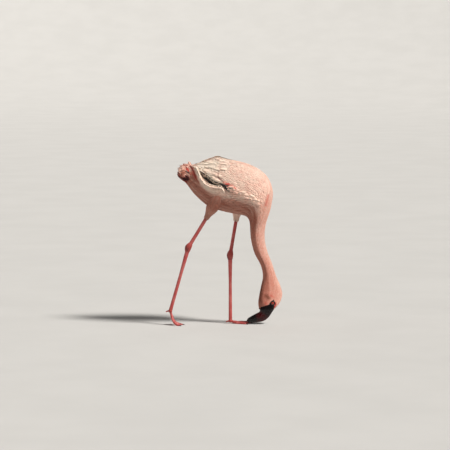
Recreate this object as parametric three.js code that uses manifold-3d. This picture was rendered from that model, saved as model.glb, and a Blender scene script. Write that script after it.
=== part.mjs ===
// A lesser flamingo, life size, wading and feeding: the neck hangs from the lowered breast, the
// head is upside down and the back of the bent bill lies on the ground. The left leg carries the
// bird and the right one trails on its toes.
//
// Millimetres. +X is the way the bird faces, +Y is its left side and +Z is up. The origin lies on
// the ground, under the middle of the bird.
import * as THREE from "three";
import { mergeVertices } from "three/addons/utils/BufferGeometryUtils.js";
import Module from "manifold-3d";

const wasm = await Module();
wasm.setup();

// ---------------------------------------------------------------- driving dimensions

const GAP = 0.3; // left between two nodes that meet
const DEGREE = Math.PI / 180;

// Sections from the tail to the bill. "back" and "belly" are the points (x, z) where a section
// crosses the bird's middle plane, and "half" is its half width.
const SECTIONS = [
  { name: "tail root", back: [-117, 541], belly: [-128, 478], half: 27 },
  { name: "rump", back: [-76, 548], belly: [-98, 440], half: 47 },
  { name: "loin", back: [-20, 558], belly: [-52, 401], half: 64 },
  { name: "middle", back: [40, 554.5], belly: [2, 383], half: 75 },
  { name: "chest", back: [97, 538], belly: [47, 374.5], half: 78 },
  { name: "shoulder", back: [142, 505], belly: [72, 368], half: 71 },
  { name: "breast", back: [163.5, 455], belly: [82, 358], half: 56 },
  { name: "neck root", back: [158, 399], belly: [86.5, 342], half: 40 },
  { name: "lower neck", back: [140.5, 339], belly: [88, 321], half: 27.5 },
  { name: "low bend", back: [137, 292], belly: [91, 286], half: 23.5 },
  { name: "middle neck", back: [146, 248], belly: [103, 241], half: 21 },
  { name: "upper neck", back: [162, 207], belly: [124, 200], half: 19 },
  { name: "nape", back: [175.5, 165], belly: [131, 164], half: 18.5 },
  { name: "hind crown", back: [191, 129], belly: [125, 130], half: 20.5 },
  { name: "crown", back: [196.5, 100], belly: [119, 100], half: 22 },
  { name: "brow", back: [187, 71], belly: [115.5, 73], half: 20.5 },
  { name: "bill root", back: [168, 50], belly: [118, 50], half: 12.5 },
];
const KEEL = 0.12; // how much wider a section is towards its back than towards its belly

// The folded wings lie on the trunk. Each row gives the place along the body, the angles from the
// back at which the wing begins and ends there, and how far it stands proud along its upper edge
// (crest) and elsewhere.
const WING = [
  { section: "tail root", add: 0.45, top: 18, low: 40, crest: 1.5, proud: 2.5 },
  { section: "rump", add: 0, top: 6, low: 60, crest: 4, proud: 3.5 },
  { section: "rump", add: 0.5, top: 4, low: 73, crest: 9, proud: 4 },
  { section: "rump", add: 0.85, top: 3, low: 81, crest: 14, proud: 4.5 },
  { section: "loin", add: 0.2, top: 4, low: 85, crest: 9, proud: 5 },
  { section: "loin", add: 0.55, top: 5, low: 87, crest: 3.5, proud: 5 },
  { section: "middle", add: 0, top: 8, low: 92, crest: 1.5, proud: 5 },
  { section: "chest", add: 0, top: 15, low: 101, crest: 1.5, proud: 5 },
  { section: "shoulder", add: 0, top: 24, low: 102, crest: 1.5, proud: 4 },
  { section: "breast", add: 0.15, top: 38, low: 92, crest: 1, proud: 2 },
];
const WING_INSET = 6; // how deep the wing is let into the trunk

// The edge of the black flight feathers shows under each wing: its width is in degrees.
const QUILLS = { from: 0.8, to: 3.1, width: 10, proud: 2.2, inset: 4 };

const TAIL = [
  { back: [-134, 544], belly: [-143, 490], half: 30 },
  { back: [-149, 537], belly: [-154, 499], half: 31 },
  { back: [-159, 527], belly: [-162, 510], half: 24 },
];

// The bill's gape line starts between the mandibles at the face, runs straight, then turns.
const BILL = { start: [158, 58], heading: 239, straight: 26, bend: 30, turn: 50, end: 45 };
// Along the gape line: depth of the upper and of the lower mandible, and half widths of both.
const BILL_SHAPE = [
  { at: 0, upper: 13, lower: 37, upperHalf: 9, lowerHalf: 11.5 },
  { at: 0.15, upper: 12.5, lower: 33, upperHalf: 8.5, lowerHalf: 11 },
  { at: 0.3, upper: 12, lower: 27, upperHalf: 8, lowerHalf: 10.5 },
  { at: 0.55, upper: 11.5, lower: 21.5, upperHalf: 7.5, lowerHalf: 10 },
  { at: 0.8, upper: 10.5, lower: 13, upperHalf: 6.5, lowerHalf: 8.5 },
  { at: 0.94, upper: 8, lower: 7, upperHalf: 5, lowerHalf: 5.6 },
  { at: 1, upper: 3.6, lower: 2, upperHalf: 2.2, lowerHalf: 2.2 },
];

const BEYOND = 40; // swells the end of the face so that it trims the whole root of the bill

const EYE = { place: [163.5, 74], radius: 5.6, sunk: 2.6 };

// Each leg, from the hip inside the trunk to the joint of the toes.
const LEGS = {
  left: {
    side: 1,
    hip: [50, 40, 440],
    cuff: [40.5, 31, 352],
    hock: [20.2, 26, 233],
    knuckle: [21, 20, 9.4],
    toePath: [[0, 9.4], [13, 5.2], [26, 3], [50, 2.6], [72, 2]],
  },
  right: {
    side: -1,
    hip: [-18, -42, 440],
    cuff: [-59, -31, 365.5],
    hock: [-121, -27, 263.7],
    knuckle: [-182.2, -20, 48],
    toePath: [[0, 48], [5, 30], [13, 13], [27, 2.8], [47, 2]],
  },
};
const THIGH = { top: 31, middle: 21, foot: 9.5 };
const SHANK = { top: 6, middle: 5.7, foot: 6.4 };
const HOCK = 11;
const TARSUS = { top: 7.4, middle: 5.3, foot: 5.8 };
const KNUCKLE = 6.2;
const HEEL = 7;
const LIMB_FLATNESS = 0.84; // side-to-side over fore-and-aft
const HOCK_REACH = 17; // length of the swelling on each side of the hock
const ANKLE_CUT = 15; // how far above the knuckle the foot's node begins

const TOES = [
  { name: "inner", angle: -27, length: 61 },
  { name: "middle", angle: 0, length: 70 },
  { name: "outer", angle: 27, length: 64 },
];
const TOE = { root: 4.4, middle: 3.6, tip: 2.7 };
const CLAW = { length: 8, root: 2, tip: 0.5 };
const HALLUX = { length: 13, root: 2.8, tip: 1.9, height: 5 };
const WEB = { from: 2, edge: 0.86, hollow: 0.6, thick: 1.2, drop: 1.3 };

// ---------------------------------------------------------------- colours

const paint = (color, roughness) => new THREE.MeshStandardMaterial({ color, roughness, metalness: 0 });
const PLUMAGE = paint(0xefbca6, 0.85);
const COVERTS = paint(0xf3c9b5, 0.85);
const QUILL_BLACK = paint(0x15110f, 0.7);
const TAIL_PINK = paint(0xd98f7d, 0.85);
const LEG_RED = paint(0xb8485a, 0.5);
const BILL_DARK = paint(0x2a0a0e, 0.35);
const CLAW_DARK = paint(0x2b1a1a, 0.45);
const EYE_RED = paint(0xd8331a, 0.1);

// ---------------------------------------------------------------- small helpers

const mix = (a, b, t) => a + (b - a) * t;
const eased = (t) => t * t * (3 - 2 * t);
const middlePlane = ([x, z]) => new THREE.Vector3(x, 0, z);

// Reads key off a list of rows at a place between them: a smooth curve that never overshoots a row.
function reading(rows, place, key, of = (row) => row.at) {
  const next = rows.findIndex((row) => of(row) >= place);
  if (next <= 0) return rows[next < 0 ? rows.length - 1 : 0][key];
  const rise = (i) => (rows[i][key] - rows[i - 1][key]) / (of(rows[i]) - of(rows[i - 1]));
  const slope = (i) => {
    if (i === 0) return rise(1);
    if (i === rows.length - 1) return rise(i);
    const [before, after] = [rise(i), rise(i + 1)];
    return before * after > 0 ? (2 * before * after) / (before + after) : 0;
  };
  const [a, b] = [rows[next - 1], rows[next]];
  const length = of(b) - of(a);
  const t = (place - of(a)) / length;
  const bend = (1 - t) * slope(next - 1) - t * slope(next);
  return mix(a[key], b[key], eased(t)) + t * (1 - t) * length * bend;
}

// A closed body through rings of points, with a fan over each end.
function loft(rings) {
  const count = rings[0].length;
  const points = rings.flat();
  const faces = [];
  for (let r = 0; r + 1 < rings.length; r++)
    for (let i = 0; i < count; i++) {
      const a = r * count + i;
      const b = r * count + ((i + 1) % count);
      faces.push(a, b, b + count, a, b + count, a + count);
    }
  for (const [ring, first] of [[rings[0], 0], [rings.at(-1), points.length - count]]) {
    const centre = ring.reduce((sum, p) => sum.add(p), new THREE.Vector3()).divideScalar(count);
    const hub = points.push(centre) - 1;
    for (let i = 0; i < count; i++) {
      const edge = [first + i, first + ((i + 1) % count)];
      faces.push(hub, ...(first === 0 ? edge.reverse() : edge));
    }
  }
  const geometry = new THREE.BufferGeometry().setFromPoints(points);
  geometry.setIndex(faces);
  return geometry;
}

// A closed body between two sheets of points. Each sheet is a list of rows.
function slab(upper, lower) {
  const [rows, columns] = [upper.length, upper[0].length];
  const points = [...upper.flat(), ...lower.flat()];
  const under = rows * columns;
  const faces = [];
  const quad = (a, b, c, d) => faces.push(a, b, c, a, c, d);
  for (let r = 0; r + 1 < rows; r++)
    for (let c = 0; c + 1 < columns; c++) {
      const a = r * columns + c;
      quad(a, a + 1, a + 1 + columns, a + columns);
      quad(under + a, under + a + columns, under + a + 1 + columns, under + a + 1);
    }
  const rim = [];
  for (let c = 0; c < columns; c++) rim.push(c);
  for (let r = 1; r < rows; r++) rim.push(r * columns + columns - 1);
  for (let c = columns - 2; c >= 0; c--) rim.push((rows - 1) * columns + c);
  for (let r = rows - 2; r > 0; r--) rim.push(r * columns);
  rim.forEach((a, i) => {
    const b = rim[(i + 1) % rim.length];
    quad(b, a, under + a, under + b);
  });
  const geometry = new THREE.BufferGeometry().setFromPoints(points);
  geometry.setIndex(faces);
  return geometry;
}

// Any closed geometry as a solid that can be cut and joined, turned inside out where that is needed.
function solid(geometry) {
  const bare = geometry.clone();
  for (const extra of ["normal", "uv"]) bare.deleteAttribute(extra);
  const merged = mergeVertices(bare, 1e-4);
  const triVerts = new Uint32Array(merged.index.array);
  const vertProperties = merged.attributes.position.array;
  let volume = 0;
  const [a, b, c] = [0, 1, 2].map(() => new THREE.Vector3());
  for (let i = 0; i < triVerts.length; i += 3) {
    [a, b, c].forEach((v, k) => v.fromArray(vertProperties, triVerts[i + k] * 3));
    volume += a.dot(b.cross(c));
  }
  if (volume < 0)
    for (let i = 0; i < triVerts.length; i += 3)
      [triVerts[i], triVerts[i + 1]] = [triVerts[i + 1], triVerts[i]];
  return new wasm.Manifold(new wasm.Mesh({ numProp: 3, vertProperties, triVerts }));
}

function geometryOf(cut) {
  const { vertProperties, triVerts } = cut.getMesh();
  const geometry = new THREE.BufferGeometry();
  geometry.setAttribute("position", new THREE.BufferAttribute(new Float32Array(vertProperties), 3));
  geometry.setIndex(new THREE.BufferAttribute(new Uint32Array(triVerts), 1));
  geometry.computeVertexNormals();
  return geometry;
}

const flamingo = new THREE.Group();
function add(name, shape, material) {
  const mesh = new THREE.Mesh(geometryOf(shape), material);
  mesh.name = name;
  flamingo.add(mesh);
}

// ---------------------------------------------------------------- body sections

const line = (key) =>
  new THREE.CatmullRomCurve3(
    SECTIONS.map((s) => new THREE.Vector3(s[key][0], s.half, s[key][1])),
    false,
    "catmullrom",
    0.5,
  );
const backLine = line("back");
const bellyLine = line("belly");
const placeOf = (name, more = 0) => SECTIONS.findIndex((s) => s.name === name) + more;

// A point of the skin: place counts sections, angle runs from the back (0) to the belly (pi).
function bodyPoint(place, angle, side, proud = 0) {
  const share = place / (SECTIONS.length - 1);
  return sectionPoint(backLine.getPoint(share), bellyLine.getPoint(share), angle, side, proud);
}

// back and belly hold the half width in y.
function sectionPoint(back, belly, angle, side, proud) {
  const half = back.y;
  const up = new THREE.Vector3(back.x - belly.x, 0, back.z - belly.z).divideScalar(2);
  const reach = up.length();
  const normal = new THREE.Vector2(
    half * (Math.cos(angle) + KEEL * Math.cos(2 * angle)),
    reach * Math.sin(angle),
  ).normalize();
  const height = Math.cos(angle) + (proud * normal.x) / reach;
  const width = half * Math.sin(angle) * (1 + KEEL * Math.cos(angle)) + proud * normal.y;
  const centre = new THREE.Vector3((back.x + belly.x) / 2, side * width, (back.z + belly.z) / 2);
  return centre.addScaledVector(up, height);
}

// A whole ring round the body.
function bodyRing(point, sides) {
  return Array.from({ length: sides }, (_, i) => {
    const turn = (2 * Math.PI * i) / sides;
    return turn <= Math.PI ? point(turn, 1) : point(2 * Math.PI - turn, -1);
  });
}

// The body between two places, as a solid. grow swells it.
function bodyPart(from, to, steps, sides, grow = 0) {
  const rings = [];
  for (let i = 0; i <= steps; i++) {
    const place = mix(from, to, i / steps);
    rings.push(bodyRing((angle, side) => bodyPoint(place, angle, side, grow), sides));
  }
  return solid(loft(rings));
}

const NECK_CUT = placeOf("neck root", 0.7);
const NECK_MIDDLE_CUT = placeOf("low bend", 0.8);
const HEAD_CUT = placeOf("nape", 0.1);
const FACE_CUT = placeOf("bill root");
const HALF_CUT = 0.014; // half a cut between two lengths of the body, counted in sections

// ---------------------------------------------------------------- wings

const WING_ROWS = WING.map((row) => ({ ...row, at: placeOf(row.section, row.add) }));
const WING_FROM = WING_ROWS[0].at;
const WING_TO = WING_ROWS.at(-1).at;
const wingEdge = (place, key) => reading(WING_ROWS, place, key) * DEGREE;

// A strip that lies on the trunk between two angles, as a closed shell.
function strip(from, to, steps, across, side, shape) {
  const [upper, lower] = [[], []];
  for (let i = 0; i <= steps; i++) {
    const place = mix(from, to, i / steps);
    const { top, low, outer, inner } = shape(place);
    const row = (proud) =>
      Array.from({ length: across + 1 }, (_, j) =>
        bodyPoint(place, mix(top, low, j / across), side, proud(j / across)),
      );
    upper.push(row(outer));
    lower.push(row(inner));
  }
  return solid(slab(upper, lower));
}

const swell = (share) => 1 - (2 * share - 1) ** 6; // 0 at both edges, 1 between them

function wing(side, grow = 0) {
  const margin = grow / 60;
  return strip(WING_FROM - margin, WING_TO + margin, 15, 7, side, (place) => ({
    top: wingEdge(place, "top") - margin,
    low: wingEdge(place, "low") + margin,
    outer: (share) => {
      const [crest, proud] = [reading(WING_ROWS, place, "crest"), reading(WING_ROWS, place, "proud")];
      return mix(crest, proud, eased(Math.min(1, share / 0.35))) * mix(0.8, 1, swell(share)) + grow;
    },
    inner: (share) => -mix(1.2, WING_INSET, swell(share)) - grow,
  }));
}

function quills(side, grow = 0) {
  const margin = grow / 60;
  return strip(QUILLS.from - margin, QUILLS.to + margin, 8, 2, side, (place) => {
    const share = (place - QUILLS.from) / (QUILLS.to - QUILLS.from);
    const reach = QUILLS.width * DEGREE * Math.sin(mix(0.35, 2.6, share));
    const top = wingEdge(place, "low") + 0.9 * DEGREE;
    return {
      top: top - margin,
      low: top + reach + margin,
      outer: () => QUILLS.proud + grow,
      inner: () => -QUILLS.inset - grow,
    };
  });
}

// ---------------------------------------------------------------- tail

function tail() {
  const { back, belly, half } = SECTIONS[0];
  const root = { back: [back[0] - GAP, back[1]], belly: [belly[0] - GAP, belly[1]], half };
  const rings = [root, ...TAIL].map((row) => {
    const crest = middlePlane(row.back).setY(row.half);
    return bodyRing((angle, side) => sectionPoint(crest, middlePlane(row.belly), angle, side, 0), 28);
  });
  return solid(loft(rings));
}

// ---------------------------------------------------------------- head, eyes and bill

function ball([x, z], y, radius) {
  const geometry = new THREE.SphereGeometry(radius, 12, 9).rotateX(Math.PI / 2);
  return solid(geometry.translate(x, y, z));
}

// The level of the cheek at the eye: where the body's skin is, sideways, at that point.
function cheek([x, z]) {
  let best = { miss: Infinity, y: 0 };
  for (let place = HEAD_CUT; place <= FACE_CUT; place += 0.02)
    for (let angle = 0.2; angle < 3; angle += 0.02) {
      const point = bodyPoint(place, angle, 1);
      const miss = Math.hypot(point.x - x, point.z - z);
      if (miss < best.miss) best = { miss, y: point.y };
    }
  return best.y;
}

const EYE_Y = cheek(EYE.place) - EYE.sunk;

// The gape line: a straight, a bend and a nearly straight end.
function gapeAt(share) {
  const length = BILL.straight + BILL.bend + BILL.end;
  const steps = 60;
  const point = middlePlane(BILL.start);
  let heading = BILL.heading * DEGREE;
  for (let i = 0; i < steps * share; i++) {
    const along = (length * i) / steps;
    const bending = along >= BILL.straight && along < BILL.straight + BILL.bend;
    if (bending) heading -= (((BILL.turn * DEGREE) / BILL.bend) * length) / steps;
    point.x += (Math.cos(heading) * length) / steps;
    point.z += (Math.sin(heading) * length) / steps;
  }
  return { point, culmen: new THREE.Vector3(-Math.sin(heading), 0, Math.cos(heading)) };
}

// Half a bill: a ring is flat at the gape and rounded away from it.
function mandible(which, away) {
  const rings = [];
  const steps = 16;
  for (let i = 0; i <= steps; i++) {
    const share = i / steps;
    const { point, culmen } = gapeAt(share);
    const depth = reading(BILL_SHAPE, share, which);
    const half = reading(BILL_SHAPE, share, which + "Half");
    const ring = [];
    for (let j = 0; j <= 10; j++) {
      const turn = (Math.PI * j) / 10;
      const out = away * (Math.sin(turn) ** 0.8 * depth + GAP / 2);
      const p = point.clone().addScaledVector(culmen, out);
      p.y = half * Math.sign(Math.cos(turn)) * Math.abs(Math.cos(turn)) ** 0.75;
      p.z = Math.max(p.z, 0);
      ring.push(p);
    }
    rings.push(ring);
  }
  return solid(loft(rings));
}

// ---------------------------------------------------------------- legs

const UP = new THREE.Vector3(0, 1, 0);

// A limb through points with a radius at each, rounder than it is wide.
function limb(stops, sides = 12, flatness = LIMB_FLATNESS) {
  const rings = stops.map(({ at, radius, along }) => {
    const side = UP.clone().addScaledVector(along, -UP.dot(along)).normalize();
    const fore = new THREE.Vector3().crossVectors(side, along);
    return Array.from({ length: sides }, (_, i) => {
      const turn = (2 * Math.PI * i) / sides;
      return at
        .clone()
        .addScaledVector(fore, radius * Math.cos(turn))
        .addScaledVector(side, radius * flatness * Math.sin(turn));
    });
  });
  return solid(loft(rings));
}

// Stops along one bone. radius is a function of the distance from its start and to its end.
function bone(a, b, steps, radius, bent = { start: null, end: null }) {
  const length = a.distanceTo(b);
  const straight = b.clone().sub(a).normalize();
  return Array.from({ length: steps + 1 }, (_, i) => {
    const share = i / steps;
    let along = straight;
    if (i === 0 && bent.start) along = straight.clone().add(bent.start).normalize();
    if (i === steps && bent.end) along = straight.clone().add(bent.end).normalize();
    const across = radius(share * length, (1 - share) * length, share);
    return { at: a.clone().lerp(b, share), radius: across, along };
  });
}

// From top to middle at a share of the way, and on to foot.
const threeWay = ({ top, middle, foot }, share, waist) =>
  share < waist
    ? mix(top, middle, share / waist)
    : mix(middle, foot, eased((share - waist) / (1 - waist)));

const vector = (list) => new THREE.Vector3(...list);
const bulge = (distance) => Math.max(0, 1 - (distance / HOCK_REACH) ** 2) ** 1.2;

function legParts(leg) {
  const [hip, cuff, hock, knuckle] = [leg.hip, leg.cuff, leg.hock, leg.knuckle].map(vector);
  const down = knuckle.clone().sub(hock).normalize();
  const shankWay = hock.clone().sub(cuff).normalize();
  const ankle = knuckle.clone().addScaledVector(down, -ANKLE_CUT);
  const thighWay = cuff.clone().sub(hip).normalize();
  const thigh = bone(
    hip,
    cuff,
    8,
    (_, __, share) => threeWay(THIGH, share, 0.5),
    { start: null, end: shankWay },
  );
  const shankTop = cuff.clone().addScaledVector(shankWay, GAP);
  const shankFoot = hock.clone().addScaledVector(shankWay, -GAP);
  const shank = bone(
    shankTop,
    shankFoot,
    12,
    (_, left, share) => mix(threeWay(SHANK, share, 0.5), HOCK, bulge(left)),
    { start: thighWay, end: down },
  );
  const tarsusTop = hock.clone().addScaledVector(down, GAP);
  const tarsus = bone(
    tarsusTop,
    ankle,
    14,
    (gone, _, share) => mix(threeWay(TARSUS, share, 0.4), HOCK, bulge(gone)),
    { start: shankWay, end: null },
  );
  return { thigh: limb(thigh, 18, 0.92), shank: limb(shank), tarsus: limb(tarsus), ankle, knuckle, down };
}

// ---------------------------------------------------------------- feet

// A point of a foot: gone is the length walked from the knuckle along a toe at an angle.
function footPoint(leg, path, gone, angle) {
  const length = path.getLength();
  const on = path.getPointAt(Math.min(1, gone / length));
  on.x += Math.max(0, gone - length);
  const turn = angle * leg.side;
  return new THREE.Vector3(
    leg.knuckle[0] + on.x * Math.cos(turn),
    leg.knuckle[1] + gone * Math.sin(turn),
    on.z,
  );
}

const grounded = (ring) => ring.map((p) => p.setZ(Math.max(p.z, 0)));

const toeRadius = (share) => mix(mix(TOE.root, TOE.middle, share), TOE.tip, share ** 3);

function roundRings(stops, sides) {
  return stops.map(({ at, radius, along }) => {
    const side = new THREE.Vector3(-along.y, along.x, 0);
    if (side.length() < 1e-6) side.set(0, 1, 0);
    side.normalize();
    const over = new THREE.Vector3().crossVectors(along, side);
    return grounded(
      Array.from({ length: sides }, (_, i) => {
        const turn = (2 * Math.PI * (i + 0.5)) / sides;
        return at
          .clone()
          .addScaledVector(side, radius * Math.cos(turn))
          .addScaledVector(over, radius * Math.sin(turn));
      }),
    );
  });
}

// The toes and the webs between them are one sheet: columns run along it, rows across.
function webbedToes(leg, path) {
  const columns = [];
  TOES.forEach((toe, i) => {
    for (const offset of [-1, -0.6, 0, 0.6, 1])
      columns.push({ angle: toe.angle, offset, reach: toe.length, toe: Math.sqrt(1 - offset ** 2) });
    const next = TOES[i + 1];
    if (next)
      for (const share of [0.2, 0.5, 0.8]) {
        const hollow = mix(WEB.edge, WEB.hollow, Math.sin(Math.PI * share));
        const [angle, offset] = [mix(toe.angle, next.angle, share), mix(1, -1, share)];
        columns.push({ angle, offset, reach: mix(toe.length, next.length, share) * hollow, toe: 0 });
      }
  });
  const [upper, lower] = [[], []];
  const rows = 7;
  for (let i = 0; i <= rows; i++) {
    const points = columns.map((column) => {
      const gone = mix(WEB.from, column.reach, (i / rows) ** 0.9);
      const radius = toeRadius(gone / column.reach);
      const turn = column.angle * DEGREE;
      const at = footPoint(leg, path, gone, turn);
      const ahead = footPoint(leg, path, gone + 0.5, turn).sub(at).normalize();
      const aside = new THREE.Vector3(-Math.sin(turn * leg.side), Math.cos(turn * leg.side), 0);
      const over = new THREE.Vector3().crossVectors(ahead, aside);
      const room = 0.42 * gone * Math.sin(TOES[2].angle * DEGREE);
      at.addScaledVector(aside, leg.side * column.offset * Math.min(1.1 * radius, room));
      const drop = column.toe ? 0 : WEB.drop;
      const half = Math.max(WEB.thick / 2, column.toe * radius);
      return [
        at.clone().addScaledVector(over, half - drop),
        at.clone().addScaledVector(over, -half - drop),
      ];
    });
    upper.push(points.map(([top]) => top));
    lower.push(grounded(points.map(([, sole]) => sole)));
  }
  return solid(slab(upper, lower));
}

function footParts(leg, { ankle, knuckle, down }) {
  const path = new THREE.CatmullRomCurve3(leg.toePath.map(([x, z]) => new THREE.Vector3(x, 0, z)));
  const start = ankle.clone().addScaledVector(down, GAP);
  const stem = bone(start, knuckle, 4, (_, __, share) => mix(TARSUS.foot, KNUCKLE, share));
  const heel = solid(new THREE.SphereGeometry(HEEL, 10, 7).translate(...leg.knuckle));
  const hind = knuckle.clone().add(new THREE.Vector3(-3, -2 * leg.side, 1));
  const hindTip = hind.clone().add(new THREE.Vector3(-HALLUX.length, 0, -HALLUX.height));
  const hallux = limb(bone(hind, hindTip, 4, (_, __, share) => mix(HALLUX.root, HALLUX.tip, share)), 8, 1);
  const foot = limb(stem).add(heel).add(webbedToes(leg, path)).add(hallux);
  const claws = TOES.map((toe) => {
    const stops = Array.from({ length: 5 }, (_, i) => {
      const gone = mix(toe.length + GAP, toe.length + CLAW.length, i / 4);
      const at = footPoint(leg, path, gone, toe.angle * DEGREE);
      const along = footPoint(leg, path, gone + 0.5, toe.angle * DEGREE).sub(at).normalize();
      at.z = mix(at.z, CLAW.tip, i / 4);
      return { at, radius: mix(CLAW.root, CLAW.tip, (i / 4) ** 1.5), along };
    });
    return { name: toe.name, shape: solid(loft(roundRings(stops, 6))) };
  });
  return { foot, claws };
}

// ---------------------------------------------------------------- the bird

const sides = { left: 1, right: -1 };
const trunkSwollen = bodyPart(0, NECK_CUT, 18, 24, GAP);
let trunk = bodyPart(HALF_CUT, NECK_CUT - HALF_CUT, 18, 24);
for (const side of Object.values(sides)) trunk = trunk.subtract(wing(side, GAP)).subtract(quills(side, GAP));
add("trunk", trunk, PLUMAGE);
for (const [name, side] of Object.entries(sides)) {
  add("wing_" + name, wing(side), COVERTS);
  add("flight_feathers_" + name, quills(side).subtract(wing(side, GAP)), QUILL_BLACK);
}
add("tail", tail(), TAIL_PINK);
add("neck_lower", bodyPart(NECK_CUT + HALF_CUT, NECK_MIDDLE_CUT - HALF_CUT, 7, 22), PLUMAGE);
add("neck_upper", bodyPart(NECK_MIDDLE_CUT + HALF_CUT, HEAD_CUT - HALF_CUT, 7, 22), PLUMAGE);

let head = bodyPart(HEAD_CUT + HALF_CUT, FACE_CUT, 13, 24);
for (const [name, side] of Object.entries(sides)) {
  head = head.subtract(ball(EYE.place, side * EYE_Y, EYE.radius + GAP));
  add("eye_" + name, ball(EYE.place, side * EYE_Y, EYE.radius), EYE_RED);
}
add("head", head, PLUMAGE);

const face = bodyPart(HEAD_CUT, FACE_CUT, 13, 24, GAP).add(bodyPart(FACE_CUT - 0.2, FACE_CUT, 1, 24, BEYOND));
add("bill_upper", mandible("upper", 1).subtract(face), BILL_DARK);
add("bill_lower", mandible("lower", -1).subtract(face), BILL_DARK);

for (const [name, leg] of Object.entries(LEGS)) {
  const parts = legParts(leg);
  const { foot, claws } = footParts(leg, parts);
  add("thigh_" + name, parts.thigh.subtract(trunkSwollen), PLUMAGE);
  add("shank_" + name, parts.shank, LEG_RED);
  add("tarsus_" + name, parts.tarsus, LEG_RED);
  add("foot_" + name, foot, LEG_RED);
  for (const claw of claws) add("claw_" + claw.name + "_" + name, claw.shape, CLAW_DARK);
}

export default flamingo;
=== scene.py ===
"""A life-size lesser flamingo, feeding with its head upside down, dressed round its packed solids.

One skin covers trunk, neck, head and thighs. Vanes of solid mesh make the plumage over it, and the
eyes, bill, legs, feet and claws are pieces of their own. Metres; +X is the way the bird faces.
"""

import itertools
import math

import bpy
import numpy as np
from bpy.props import FloatProperty, FloatVectorProperty, PointerProperty
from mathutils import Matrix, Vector
from mathutils.kdtree import KDTree


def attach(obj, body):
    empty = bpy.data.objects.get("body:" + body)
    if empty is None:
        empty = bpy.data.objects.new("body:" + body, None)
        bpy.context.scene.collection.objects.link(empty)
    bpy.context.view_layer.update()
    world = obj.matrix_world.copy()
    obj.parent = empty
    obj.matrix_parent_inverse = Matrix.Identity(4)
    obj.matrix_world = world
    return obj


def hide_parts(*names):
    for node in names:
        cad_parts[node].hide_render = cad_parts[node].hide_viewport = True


bl_info = {
    "name": "Lesser flamingo",
    "version": (1, 0, 0),
    "blender": (4, 5, 0),
    "location": "3D View > Sidebar > Flamingo",
    "description": "Dresses the solids of a feeding lesser flamingo with skin, feathers and bare parts",
    "category": "Object",
}

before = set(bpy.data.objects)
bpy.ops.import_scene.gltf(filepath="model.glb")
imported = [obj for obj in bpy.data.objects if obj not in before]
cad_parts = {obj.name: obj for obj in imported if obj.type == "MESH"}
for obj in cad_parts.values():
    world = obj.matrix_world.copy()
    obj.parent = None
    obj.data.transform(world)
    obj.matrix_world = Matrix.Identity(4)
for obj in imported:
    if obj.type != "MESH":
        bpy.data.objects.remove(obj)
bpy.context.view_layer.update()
SIDES = {"left": 1, "right": -1}

# --- driving sizes

# Sections of the body from the tail's end to the bill: where each crosses the middle plane at the
# back and at the belly (x, z), and its half width.
SECTIONS = (
    ("tail end", (-0.159, 0.527), (-0.162, 0.510), 0.024),
    ("tail fan", (-0.149, 0.537), (-0.154, 0.499), 0.031),
    ("tail base", (-0.134, 0.544), (-0.143, 0.490), 0.030),
    ("tail root", (-0.117, 0.541), (-0.128, 0.478), 0.027),
    ("rump", (-0.076, 0.548), (-0.098, 0.440), 0.047),
    ("loin", (-0.020, 0.558), (-0.052, 0.401), 0.064),
    ("middle", (0.040, 0.5545), (0.002, 0.383), 0.075),
    ("chest", (0.097, 0.538), (0.047, 0.3745), 0.078),
    ("shoulder", (0.142, 0.505), (0.072, 0.368), 0.071),
    ("breast", (0.1635, 0.455), (0.082, 0.358), 0.056),
    ("neck root", (0.158, 0.399), (0.0865, 0.342), 0.040),
    ("lower neck", (0.1405, 0.339), (0.088, 0.321), 0.0275),
    ("low bend", (0.137, 0.292), (0.091, 0.286), 0.0235),
    ("middle neck", (0.146, 0.248), (0.103, 0.241), 0.021),
    ("upper neck", (0.162, 0.207), (0.124, 0.200), 0.019),
    ("nape", (0.1755, 0.165), (0.131, 0.164), 0.0185),
    ("hind crown", (0.191, 0.129), (0.125, 0.130), 0.0205),
    ("crown", (0.1965, 0.100), (0.119, 0.100), 0.022),
    ("brow", (0.187, 0.071), (0.1155, 0.073), 0.0205),
    ("bill root", (0.168, 0.050), (0.118, 0.050), 0.0125),
)
TAIL_ROWS = 3  # sections of the tail's feathers, before the tail root
KEEL = 0.12  # how much wider a section is towards its back

# The folded wing: place along the body, first and last angle from the back in degrees, and how far
# it stands proud along its upper edge and elsewhere.
WING_ROWS = (
    ("tail root", 0.45, 18, 40, 0.0015, 0.0025),
    ("rump", 0, 6, 60, 0.004, 0.0035),
    ("rump", 0.5, 4, 73, 0.009, 0.004),
    ("rump", 0.85, 3, 81, 0.014, 0.0045),
    ("loin", 0.2, 4, 85, 0.009, 0.005),
    ("loin", 0.55, 5, 87, 0.0035, 0.005),
    ("middle", 0, 8, 92, 0.0015, 0.005),
    ("chest", 0, 15, 101, 0.0015, 0.005),
    ("shoulder", 0, 24, 102, 0.0015, 0.004),
    ("breast", 0.15, 38, 92, 0.001, 0.002),
)
# The soft fold of flank feathers that holds the wing from below: place, angle in degrees, height.
FLANK_ROWS = (
    ("tail root", 0.2, 34, 0.0),
    ("tail root", 0.6, 48, 0.004),
    ("tail root", 0.93, 68, 0.008),
    ("rump", 0.26, 88, 0.010),
    ("rump", 0.7, 96, 0.011),
    ("loin", 0.06, 96, 0.011),
    ("loin", 0.45, 94, 0.010),
    ("loin", 0.64, 99, 0.008),
    ("loin", 0.84, 109, 0.0),
)
FLANK_ABOVE, FLANK_BELOW = 8.0, 24.0  # degrees from the fold's crest to its upper and lower foot

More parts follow.
